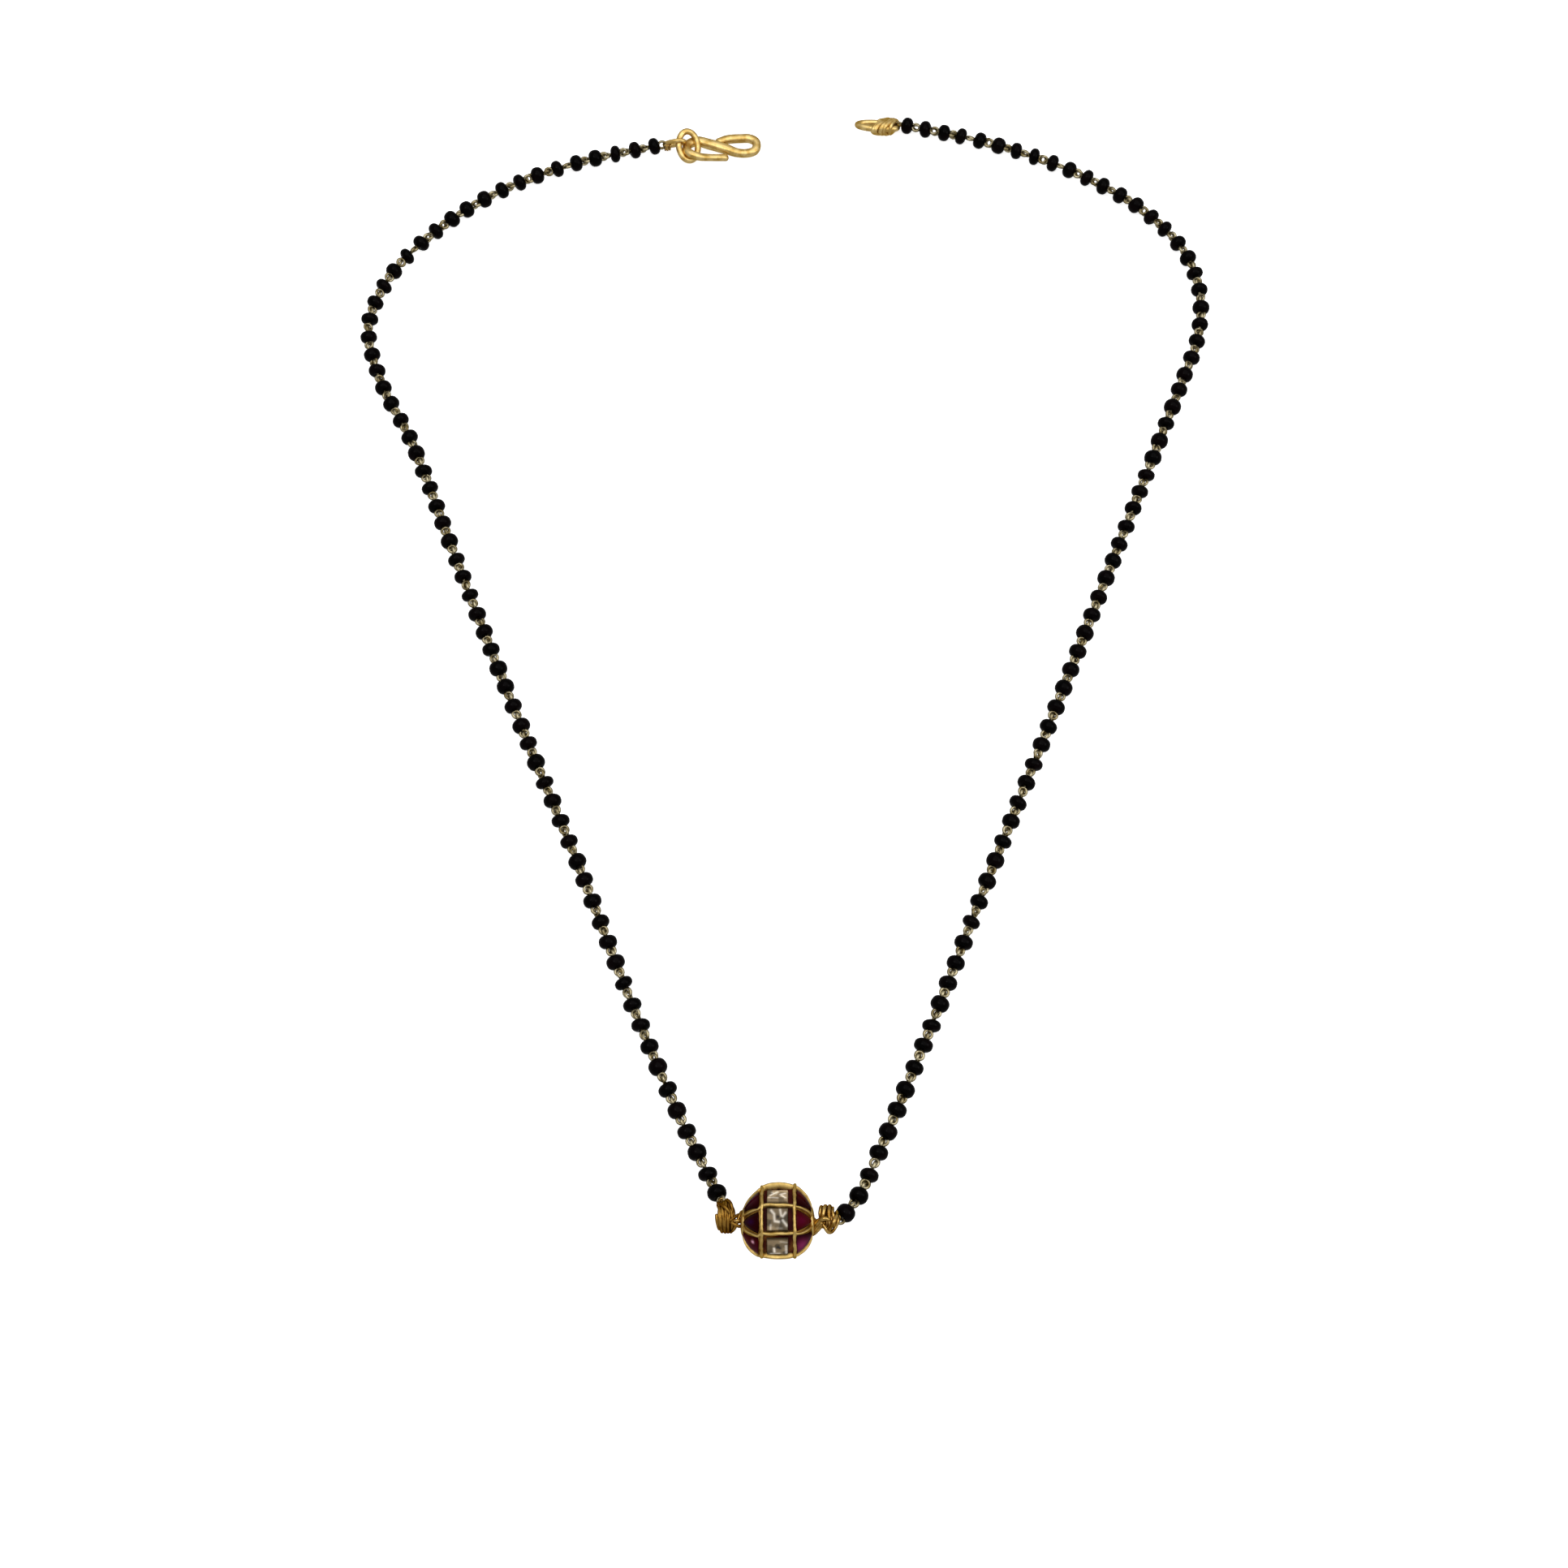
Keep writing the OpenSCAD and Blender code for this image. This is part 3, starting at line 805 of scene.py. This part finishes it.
def make_bed():
    """The lac under the stones, with a flat for each of them; its dark red is partly painted shade in
    the gaps.
    """
    rows = [(-4.3, 1), (-2.3, 3.5), (-2.1, BED_R), (2.1, BED_R), (2.3, 3.5), (4.3, 1)]
    rows = [(x, r / math.cos(math.radians(HALF_CELL))) for x, r in rows]
    bed = turned_body("ball_bed", rows, CELLS, HALF_CELL, LAC_AND_SHADE, False)
    return declare(bed)


def make_webs():
    """The gold pressed in round the side stones, lower than the ribs, painted darker as its shade."""
    rows = [(x, math.sqrt((SHOULDER_R - WEB_DEPTH) ** 2 - x * x)) for x in np.linspace(2.2, 4.3, 12)]
    rows = [(2.15, 3.6), *rows, (4.4, 1.2)]
    for label, side in SIDES.items():
        web = turned_body(f"ball_web_{label}", [(side * x, r) for x, r in rows], 48, 0, WEB_GOLD_SHADED, True)
        declare(web)


def make_collars():
    """A stepped collar at each end of the ball, with an eyelet soldered on."""
    rows = [(3.9, 1.2), (4.25, 1.75), (4.5, 1.7), (4.62, 1.4), (4.7, 1.0), (4.75, 0.7), (4.78, 0.3)]
    for label, side in SIDES.items():
        collar = turned_body(f"ball_collar_{label}", [(side * x, r) for x, r in rows], 32, 0,
                             BALL_GOLD, True)
        declare(collar)
        a = np.radians(np.arange(0, 360, 12))
        ring = np.column_stack([EYELET_R * np.cos(a), 0 * a, EYELET_R * np.sin(a)])
        path = BALL_AT + [side * EYELET_X, 0, 0] + ring
        eyelet = wire(f"ball_eyelet_{label}", [path], [unit(ring)], EYELET_D, EYELET_D, COIL_GOLD,
                      closed=True)
        declare(eyelet)


# Painted strokes of light in a clear stone seen square on, as shares of its half width: from x, y to
# x, y, and brightness, below 0 for dark ones. A stroke without length is a spot.
STAR = [
    (-0.58, 0.78, -0.3, 0.46, 0.95), (-0.3, 0.46, -0.26, -0.1, 0.9), (-0.24, -0.16, 0.14, -0.22, 1.0),
    (0.26, 0.84, 0.34, 0.38, 0.85), (0.36, 0.34, 0.5, 0.26, 0.9), (0.5, 0.26, 0.74, 0.58, 0.85),
    (0.5, -0.1, 0.86, -0.54, 0.9), (-0.62, -0.54, -0.64, -0.9, 0.5), (0.0, -0.78, 0.4, -0.8, 0.2),
    (-0.1, -0.55, 0.35, -0.55, -0.3), (0.04, 0.22, 0.04, 0.22, -0.9),
]
CLOUDED = [
    (-0.65, 0.05, 0.0, 0.6, 1.0), (-0.5, 0.5, -0.1, 0.3, 0.6), (-0.8, -0.3, 0.0, -0.4, 0.6),
    (0.24, 0.16, 0.7, 0.37, 0.9), (0.35, 0.05, 0.74, -0.37, 0.9), (0.12, 0.2, 0.14, 0.1, -0.4),
]
SPOTTED = [
    (-0.31, -0.1, -0.27, -0.6, 1.1), (0.8, 0.25, 0.82, -0.7, 0.7), (-0.6, -0.85, 0.2, -0.8, 0.5),
    (0.3, 0.8, 0.85, 0.7, 0.3), (-0.6, 0.3, -0.6, -0.4, -0.3), (0.08, 0.06, 0.22, -0.06, -0.9),
]
# What each stone shows, how light it is, how many quarter turns its strokes are turned by, half
# its height and how far it sits towards the front
STONES = [
    (STAR, 0.18, 0, 1.37, 0.0), (SPOTTED, 0.14, 0, 1.22, 0.18), (STAR, 0.17, 1, 1.25, 0.0),
    (CLOUDED, 0.2, 2, 1.3, 0.0), (SPOTTED, 0.17, 3, 1.3, 0.0), (STAR, 0.19, 2, 1.3, 0.0),
    (CLOUDED, 0.18, 1, 1.25, 0.0), (CLOUDED, 0.28, 0, 1.12, 0.3),
]
BRIGHT_WIDTH = 0.11
DARK_WIDTH = 0.18
# How white the brightest stroke is
STROKE_LIGHT = 0.6
# Facets whose painted reflections show through each clear stone, and how sharply they meet
FACETS = 16
FACET_EDGE = 22
# Points along each side of a clear stone's top
STONE_POINTS = 41
# The stone's own grey, and the white of the light that it throws back
GREY = np.array([1.0, 0.73, 0.41])
WHITE = np.array([1.0, 0.94, 0.84])


def cell_turn(k):
    """The angle of a cell's middle, half way between its two ribs."""
    before = RIB_TURNS[k - 1] - (360 if k == 0 else 0)
    return (before + RIB_TURNS[k]) / 2


def stroke_weight(u, v, stroke, width):
    """How strongly a stroke shows at the places u, v."""
    x0, y0, x1, y1, _ = stroke
    dx, dy = x1 - x0, y1 - y0
    along = ((u - x0) * dx + (v - y0) * dy) / max(dx * dx + dy * dy, 1e-6)
    along = np.clip(along, 0, 1)
    off = np.hypot(u - x0 - along * dx, v - y0 - along * dy)
    return np.exp(-((off / width) ** 2))


def clear_stone_painted_reflections(k, u, v):
    """Painted reflections of stone k at the places u, v: grey facets, its strokes, and painted shade
    on its rim.
    """
    strokes, light, quarters = STONES[k][:3]
    a = math.radians(90 * quarters)
    su, sv = u * math.cos(a) + v * math.sin(a), v * math.cos(a) - u * math.sin(a)
    edge = np.maximum(np.abs(u), np.abs(v))
    draw = np.random.default_rng(70 + k)
    hearts = draw.uniform(-1, 1, (FACETS, 2))
    shades = draw.uniform(0.2, 1.75, FACETS)
    away = np.hypot(su[:, None] - hearts[:, 0], sv[:, None] - hearts[:, 1])
    nearness = np.exp(-FACET_EDGE * (away - away.min(axis=1, keepdims=True)))
    tone = light * (nearness * shades).sum(axis=1) / nearness.sum(axis=1)
    bright = np.zeros(len(u))
    # Bright strokes are painted highlights; dark ones darken the painted reflections
    for stroke in strokes:
        if stroke[4] > 0:
            bright = np.maximum(bright, stroke_weight(su, sv, stroke, BRIGHT_WIDTH) * stroke[4])
        else:
            kept = 1 + stroke_weight(su, sv, stroke, DARK_WIDTH) * stroke[4]
            tone, bright = tone * kept, bright * kept
    colour = tone[:, None] * GREY + bright[:, None] * WHITE * STROKE_LIGHT
    # Painted shade darkens the rim where the stone meets its setting
    return np.clip(colour, 0.02, 0.86) * (1 - 0.75 * np.clip((edge - 0.93) / 0.06, 0, 1))[:, None]


def make_clear_stone(k):
    """A square flat-cut stone in a cell of the middle band, closed down to its bed."""
    half_v, shift = STONES[k][3:]
    line = np.linspace(-1, 1, STONE_POINTS)
    u, v = (side.ravel() for side in np.meshgrid(line, line))
    edge = np.maximum(np.abs(u), np.abs(v))
    lift = 0.05 * (1 - edge) - 0.3 * np.clip((edge - 0.94) / 0.06, 0, 1)
    top = np.column_stack([u * STONE_HALF, v * half_v, STONE_TOP + lift])
    rim = grid_rim(STONE_POINTS, STONE_POINTS)
    low = top[rim] * [1, 1, 0] + [0, 0, BED_R + 0.03]
    size = len(top)
    faces = grid_faces(STONE_POINTS, STONE_POINTS)
    for i in range(len(rim)):
        j = (i + 1) % len(rim)
        faces.append((rim[i], size + i, size + j, rim[j]))
    faces.append(tuple(size + i for i in reversed(range(len(rim)))))
    points = turned_about_x(np.vstack([top, low]) - [0, shift, 0], cell_turn(k))
    name = f"clear_stone_{k + 1}"
    mesh = mesh_of(name, on_ball(points), faces=faces)
    below = np.tile(0.15 * GREY, (len(rim), 1))
    paint(mesh, "tone", np.vstack([clear_stone_painted_reflections(k, u, v), below]))
    close_body(mesh, CLEAR, [len(face) == 4 for face in faces])
    return declare(place(f"{name}_cut", mesh), [name])


DEEP_RED = (0.014, 0.0004, 0.0006)
BLOOD_RED = (0.042, 0.001, 0.0012)
WINE = (0.034, 0.0005, 0.005)
VIOLET = (0.015, 0.0006, 0.018)
MAGENTA = (0.068, 0.0015, 0.013)
PINK = (0.15, 0.014, 0.06)
# Where the light comes back out of a red stone: share along it, share across it, how far it
# spreads, its colour there and the stone's own colour
RUBY_GLOWS = {
    ("left", 0): (0.55, 0.1, 0.19, VIOLET, DEEP_RED),
    ("left", 1): (0.25, 0.1, 0.3, WINE, BLOOD_RED),
    ("left", 7): (0.4, 0.0, 0.3, WINE, DEEP_RED),
    ("right", 0): (0.4, 0.0, 0.28, MAGENTA, BLOOD_RED),
    ("right", 1): (0.35, 0.0, 0.33, PINK, DEEP_RED),
    ("right", 7): (0.35, 0.3, 0.3, BLOOD_RED, DEEP_RED),
}
# A painted highlight on one red stone: share along it, share across it, how far it spreads and its
# colour
PAINTED_HIGHLIGHT = {("left", 1): (0.39, 0.55, 0.07, (0.7, 0.35, 0.45))}
OTHER_GLOWS = [(0.35, 0.1, 0.3, WINE, DEEP_RED), (0.4, -0.2, 0.35, MAGENTA, DEEP_RED)]


def glow_weight(share, s, at, off, spread):
    """How strongly a glow at the place at, off shows at the places share, s of a red stone."""
    return np.exp(-((np.hypot(share - at, (s - off) * 0.55) / spread) ** 2))[:, None]


def ruby_colours(label, k, share, s):
    """A red stone's colour at share of the way to the pole and s of the way across, with a painted
    glow, painted shade along its edges and on one stone a painted highlight.
    """
    at, off, spread, glow, own = RUBY_GLOWS.get((label, k), OTHER_GLOWS[k % 2])
    light = glow_weight(share, s, at, off, spread)
    shade = 0.5 + 0.5 * np.clip((1 - np.abs(s)) / 0.35, 0, 1)
    colour = (np.array(own) * (1 - light) + np.array(glow) * light) * shade[:, None]
    # One stone gets a painted highlight
    if (label, k) in PAINTED_HIGHLIGHT:
        at, off, spread, tint = PAINTED_HIGHLIGHT[label, k]
        light = glow_weight(share, s, at, off, spread)
        colour = colour * (1 - light) + np.array(tint) * light
    return np.vstack([colour, np.broadcast_to(own, colour.shape)])


def make_ruby(label, k):
    """A red stone that fills a side cell, a little domed and rounded towards the pole."""
    side = SIDES[label]
    steps, across = 28, 21
    share = np.repeat(np.linspace(0, 1, steps), across)
    s = np.tile(np.linspace(-1, 1, across), steps)
    x = RUBY_NEAR + (RUBY_FAR - RUBY_NEAR) * share
    span = RIB_TURNS[k] - RIB_TURNS[k - 1] + (360 if k == 0 else 0)
    half = RUBY_HALF * min(span / CELL_ANGLE, RUBY_WIDEST) * np.maximum(1 - share, 0.002) ** 0.58
    # It lies lowest along its edges and beside its wall
    sink = 0.14 + 0.3 * s ** 6 + 0.26 * np.exp(-((share / 0.05) ** 2))
    y = half * s
    around = np.sqrt((SHOULDER_R - sink) ** 2 - x ** 2)
    top = np.column_stack([side * x, y, np.sqrt(around ** 2 - y ** 2)])
    points = np.vstack([top, top - [side * 0.35, 0, 0.5]])
    size = len(top)
    faces = []
    for a, b, c, d in grid_faces(steps, across):
        faces.append((a, b, c, d))
        faces.append((size + a, size + d, size + c, size + b))
    rim = grid_rim(steps, across)
    for a, b in zip(rim, rim[1:] + rim[:1]):
        faces.append((a, b, size + b, size + a))
    points = turned_about_x(points, cell_turn(k) + SIDE_TURN[label])
    name = f"ruby_stone_{label}_{k + 1}"
    mesh = mesh_of(name, on_ball(points), faces=faces)
    paint(mesh, "glow", ruby_colours(label, k, share, s))
    close_body(mesh, RUBY, [True] * len(faces))
    return declare(place(f"{name}_cut", mesh), [name])


make_ribs()
make_bed()
make_webs()
make_collars()
for k in range(CELLS):
    make_clear_stone(k)
    for side in SIDES:
        make_ruby(side, k)


# Wound wires beside the ball


def node_middle(node):
    """The middle of a CAD node's box, in millimetres."""
    low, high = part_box(node)
    return (np.array(low) + np.array(high)) / 2 / MM


def winding(rows, gather=(0.0, 0.0), steps=30):
    """A wire laid round and round by hand, starting on the side that faces up.

    At each full turn it has the next row's place along, slant, half height and half depth.
    gather draws the turns together at the back and at the front.
    """
    rows = np.array(rows, float)
    turn = np.arange((len(rows) - 1) * steps + 1) / steps
    x, slant, height, depth = (np.interp(turn, np.arange(len(rows)), rows[:, i]) for i in range(4))
    a = turn * math.tau
    y = height * np.sin(a)
    gathered = np.where(y > 0, gather[0], gather[1]) * np.sin(a) ** 2
    x = x * (1 - gathered) + y * np.tan(np.radians(slant))
    return np.column_stack([x, y, depth * np.cos(a)])


def skein_rows(turns, half_length, height, depth, seed):
    """Rows of turns side by side, fullest in the middle, each a little off."""
    rows = []
    for i in range(turns + 1):
        share = 2 * i / turns - 1
        full = 1 - 0.24 * share * share
        rows.append((half_length * share + wobble(i * 2, seed + 1, 0.1), wobble(i * 3, seed, 9),
                     (height + wobble(i * 2, seed + 2, 0.16)) * full,
                     (depth + wobble(i * 2, seed + 4, 0.16)) * full))
    return rows


# Single strands of each side, as routes about the middle of the wound wires. x leads away from
# the ball, and each has its thickness at the two ends.
STRANDS = {
    "left": [
        ([(0.95, 1.75, 0.1), (0.8, 1.6, 0.8), (0.45, 1.3, 1.4), (0.0, 0.95, 1.65), (-0.5, 0.4, 1.5),
          (-0.9, -0.3, 1.0)], 0.46, 0.42),
        ([(-0.2, 2.1, 0.5), (-0.55, 1.75, 1.0), (-0.78, 1.3, 1.25), (-0.9, 0.75, 1.2),
          (-1.05, 0.1, 0.9), (-1.1, -0.6, 0.6)], 0.42, 0.5),
        ([(-2.05, 0.5, 0.8), (-1.8, -0.1, 1.1), (-1.5, -0.9, 1.0), (-1.15, -1.6, 0.6),
          (-0.7, -1.9, -0.1)], 0.42, 0.46),
        ([(-2.2, -1.2, 0.6), (-1.8, -1.35, 0.9), (-1.3, -1.2, 1.0), (-0.8, -0.9, 1.1)], 0.5, 0.4),
        ([(-2.1, 0.2, 0.4), (-1.7, 0.1, 0.8), (-1.2, -0.2, 1.1), (-0.7, -0.6, 1.3)], 0.5, 0.42),
        ([(-2.15, -0.4, 0.3), (-1.7, -0.6, 0.6), (-1.3, -1.1, 0.5), (-0.9, -1.6, 0.2)], 0.5, 0.5),
    ],
    "right": [
        ([(-1.0, -0.1, 0.5), (-1.1, 0.6, 1.15), (-1.02, 1.2, 1.1), (-0.88, 1.6, 0.5),
          (-0.75, 1.45, -0.4), (-0.7, 0.7, -1.0)], 0.46, 0.46),
        ([(-0.85, -0.2, 0.9), (-0.72, 0.4, 1.5), (-0.56, 1.1, 1.45), (-0.4, 1.62, 0.8),
          (-0.25, 1.6, -0.2), (-0.2, 0.9, -1.1)], 0.56, 0.5),
        ([(0.2, -0.8, 0.9), (0.08, 0.1, 1.1), (0.08, 1.0, 1.1), (0.18, 1.62, 0.6),
          (0.3, 1.5, -0.4), (0.3, 0.7, -1.1)], 0.6, 0.5),
        ([(0.7, -0.3, 0.8), (0.62, 0.4, 1.2), (0.56, 1.0, 1.1), (0.58, 1.45, 0.5),
          (0.6, 1.1, -0.6)], 0.42, 0.42),
        ([(1.1, 1.0, -0.1), (1.18, 0.6, 0.5), (1.0, 0.2, 1.15), (0.72, -0.4, 1.45),
          (0.4, -1.0, 1.2), (0.1, -1.4, 0.5)], 0.5, 0.5),
        ([(-0.95, -0.3, 0.6), (-0.68, -0.75, 1.05), (-0.36, -1.3, 1.0), (0.02, -1.66, 0.5),
          (0.5, -1.5, 0.0), (0.95, -0.9, 0.0), (1.25, -0.1, 0.2), (1.2, 0.6, -0.2)], 0.44, 0.5),
        ([(-2.35, -1.05, 0.2), (-1.9, -0.9, 0.6), (-1.45, -0.55, 1.1), (-0.95, -0.2, 1.5),
          (-0.4, -0.1, 1.7), (0.05, -0.2, 1.5)], 0.9, 0.52),
        ([(-2.1, 0.2, 0.2), (-1.8, -0.1, 0.6), (-1.45, -0.5, 0.7), (-1.1, -0.8, 0.4)], 0.6, 0.5),
        ([(-2.3, -1.85, -0.2), (-1.95, -1.8, 0.2), (-1.5, -1.5, 0.6), (-1.0, -1.0, 0.9),
          (-0.6, -0.5, 1.0)], 0.6, 0.55),
        ([(-2.3, -1.45, 0.1), (-1.9, -1.35, 0.5), (-1.4, -1.0, 0.9), (-0.9, -0.6, 1.2)], 0.6, 0.5),
    ],
}


def make_wound_wire(label, paths, material):
    """Wires about the middle of the CAD's wound wire, as one piece."""
    node = f"wrap_link_{label}"
    middle = node_middle(node)
    swept, ups, swells = [], [], []
    for path, start_d, end_d in paths:
        thick = np.linspace(start_d, end_d, len(path)) / WOUND_D
        path = middle + np.asarray(path) * [SIDES[label], 1, 1]
        path, swell = blunt(path, WOUND_D, thick)
        swept.append(path)
        swells.append(swell)
        ups.append(unit(path - middle))
    coil = wire(f"wound_wire_{label}", swept, ups, WOUND_D, WOUND_D, material, swells=swells, sides=10)
    return declare(coil, [node])


# How far behind the middle of its wound wire each tie starts
TIE_START_Y = {"left": 0.9, "right": 0.4}


def make_tie(label):
    """Two turns of wire from the wound wire through the chain's last eye."""
    last = bead_places(label)[-2:]
    end = last[0] + unit(last[1] - last[0]) * (EYE_AT + 0.15)
    start = node_middle(f"wrap_link_{label}") + [SIDES[label] * 0.2, TIE_START_Y[label], 0.4]
    middle, half = (start + end) / 2, (end - start) / 2
    wide = unit(np.cross(half, [0.2, 0.3, 1]))
    paths, ups = [], []
    for k in range(2):
        a = np.radians(np.arange(0, 360, 12))[:, None]
        shift = unit(np.cross(half, wide)) * (k - 0.5) * 0.42
        paths.append(middle + shift + half * 1.15 * np.cos(a) + wide * (0.5 + 0.12 * k) * np.sin(a))
        ups.append(unit(np.cross(half, wide)))
    tie = wire(f"tie_wire_{label}", paths, ups, TIE_D, TIE_D, COIL_GOLD, closed=True, sides=8)
    return declare(tie)


def skein_paths():
    """The left wire's full skein: eight outer turns over six inner ones."""
    outer = winding(skein_rows(8, 1.12, 1.9, 1.3, 2), gather=(0.6, 0.25))
    inner = winding(skein_rows(6, 0.85, 1.45, 1.0, 5), gather=(0.5, 0.1))
    return [(path, SKEIN_D, SKEIN_D) for path in (outer, inner)]


def knot_paths():
    """The five turns that the right wire's strands cross."""
    return [(winding(skein_rows(5, 0.8, 0.95, 0.85, 7)), SKEIN_D, SKEIN_D)]


def smooth_strands(label):
    """A side's single strands, with their thickness at the two ends."""
    return [(smooth_route(route), start_d, end_d) for route, start_d, end_d in STRANDS[label]]


make_wound_wire("left", skein_paths() + smooth_strands("left"), HANK_GOLD)
make_wound_wire("right", knot_paths() + smooth_strands("right"), COIL_GOLD)
for side in SIDES:
    make_tie(side)


# Clasp


def make_s_hook():
    """The S-hook, bent from stout wire that thins towards its free ends."""
    route = smooth_route(HOOK_ROUTE)[::2]
    path, swell = blunt(lifted(route, HOOK_H / 2 * route[:, 3]), HOOK_W, route[:, 3])
    hook = wire("s_hook_wire", [path], [(0, 0, 1)], HOOK_W, HOOK_H, CLASP_GOLD, swells=[swell],
                sides=20, roundness=0.8)
    return declare(hook, ["s_hook"])


def make_ring(name, node, oval, thickness, up):
    """An oval ring of round wire."""
    ring = wire(name, [oval_path(oval)], [up], thickness, thickness, CLASP_GOLD, closed=True, sides=16)
    return declare(ring, [node])


# Rows of the catch ring's winding, in the leaning ring's own plane and about its middle
CATCH_ROWS = [
    (0.3, 38, 1.85, 0.85), (0.9, 34, 1.95, 0.95), (1.35, 40, 1.9, 0.92), (1.9, 32, 1.75, 0.95),
    (2.3, 36, 1.45, 0.88), (2.65, 18, 1.05, 0.8),
]


def make_catch_wrap():
    """A wire wound at a slant round both sides of the catch ring."""
    centre, half_x, half_y = (np.array(v, float) for v in CATCH_RING)
    plane = np.array([unit(half_x), unit(half_y), unit(np.cross(half_x, half_y))])
    path = centre + winding(CATCH_ROWS, steps=36) @ plane
    path[:, 2] = np.maximum(path[:, 2], CATCH_WRAP_LOW)
    path, swell = blunt(path, CATCH_WRAP_TIP)
    swell = swell * (1 + wobble(np.linspace(0, 18, len(path)), 3, 0.12))
    wound = wire("catch_wrap_wire", [path], [unit(path - centre)], CATCH_WRAP_W, CATCH_WRAP_H,
                 CLASP_GOLD, swells=[swell])
    return declare(wound, ["catch_wrap"])


def make_end_turns():
    """Short turns of wire that close the loop at the hook's end of the chain."""
    rows = [(-0.55, 10, 0.5, 0.55), (-0.2, -8, 0.58, 0.6), (0.15, 6, 0.55, 0.6), (0.5, 0, 0.45, 0.5)]
    path, swell = blunt(winding(rows) + END_TURNS_AT, END_TURN_D)
    turns = wire("end_loop_turns", [path], [(1, 0, 0)], END_TURN_D, END_TURN_D, COIL_GOLD,
                 swells=[swell], sides=8)
    return declare(turns)


make_s_hook()
make_ring("hook_ring_wire", "hook_ring", HOOK_RING, RING_D, (0, 0, 1))
make_ring("catch_ring_wire", "catch_ring", CATCH_RING, CATCH_D, (0, 0, 1))
make_ring("end_loop_wire", "end_loop", END_LOOP, END_LOOP_D, (0, 1, 0))
make_catch_wrap()
make_end_turns()


# Surroundings

CAMERA_AT = (-0.00016, -0.12593, 0.27351)
# Degrees that the camera is tipped up from looking straight down
CAMERA_TIP = 20.5
CAMERA_LENS = 47.33


def make_floor():
    """A white lit table, which mirrors in nothing so that the gold keeps its dark sides."""
    bpy.ops.mesh.primitive_plane_add(size=6, location=(0, 0, -0.00002))
    floor = bpy.context.object
    floor.name = "floor"
    material, _, shader = new_material("pale_floor")
    shader["Base Color"].default_value = (0.9, 0.9, 0.9, 1)
    shader["Roughness"].default_value = 0.9
    shader["Specular IOR Level"].default_value = 0.0
    shader["Emission Color"].default_value = (1, 1, 1, 1)
    shader["Emission Strength"].default_value = 0.75
    floor.data.materials.append(material)
    floor.visible_glossy = False


def make_light(name, at, aim, size, watts):
    """A square soft light, size metres wide, that faces its aim."""
    light = bpy.data.lights.new(name, "AREA")
    light.shape = "SQUARE"
    light.size = size
    light.energy = watts
    lamp = bpy.data.objects.new(name, light)
    lamp.location = at
    lamp.rotation_euler = (Vector(aim) - Vector(at)).to_track_quat("-Z", "Y").to_euler()
    bpy.context.scene.collection.objects.link(lamp)


def make_world():
    """Even white light from all sides, which the gold mirrors."""
    world = bpy.data.worlds.new("studio")
    world.use_nodes = True
    background = world.node_tree.nodes["Background"]
    background.inputs["Color"].default_value = (1, 1, 1, 1)
    background.inputs["Strength"].default_value = 0.51
    bpy.context.scene.world = world


def make_camera():
    """Above the front edge, looking down and back, as the photograph was taken."""
    data = bpy.data.cameras.new("camera")
    data.sensor_width = 36
    data.lens = CAMERA_LENS
    data.clip_start = 0.01
    camera = bpy.data.objects.new("camera", data)
    camera.location = CAMERA_AT
    camera.rotation_euler = (math.radians(CAMERA_TIP), 0, 0)
    bpy.context.scene.collection.objects.link(camera)
    bpy.context.scene.camera = camera


make_floor()
make_light("overhead", (0.04, 0.08, 0.6), (0, 0, 0), 0.7, 1.9)
make_light("side", (0.4, -0.1, 0.35), (0, 0, 0), 0.25, 0.5)
make_light("sparkle", (-0.16, -0.05, 0.5), (0, -0.05, 0), 0.06, 0.15)
make_world()
make_camera()
bpy.context.scene.view_settings.view_transform = "Standard"
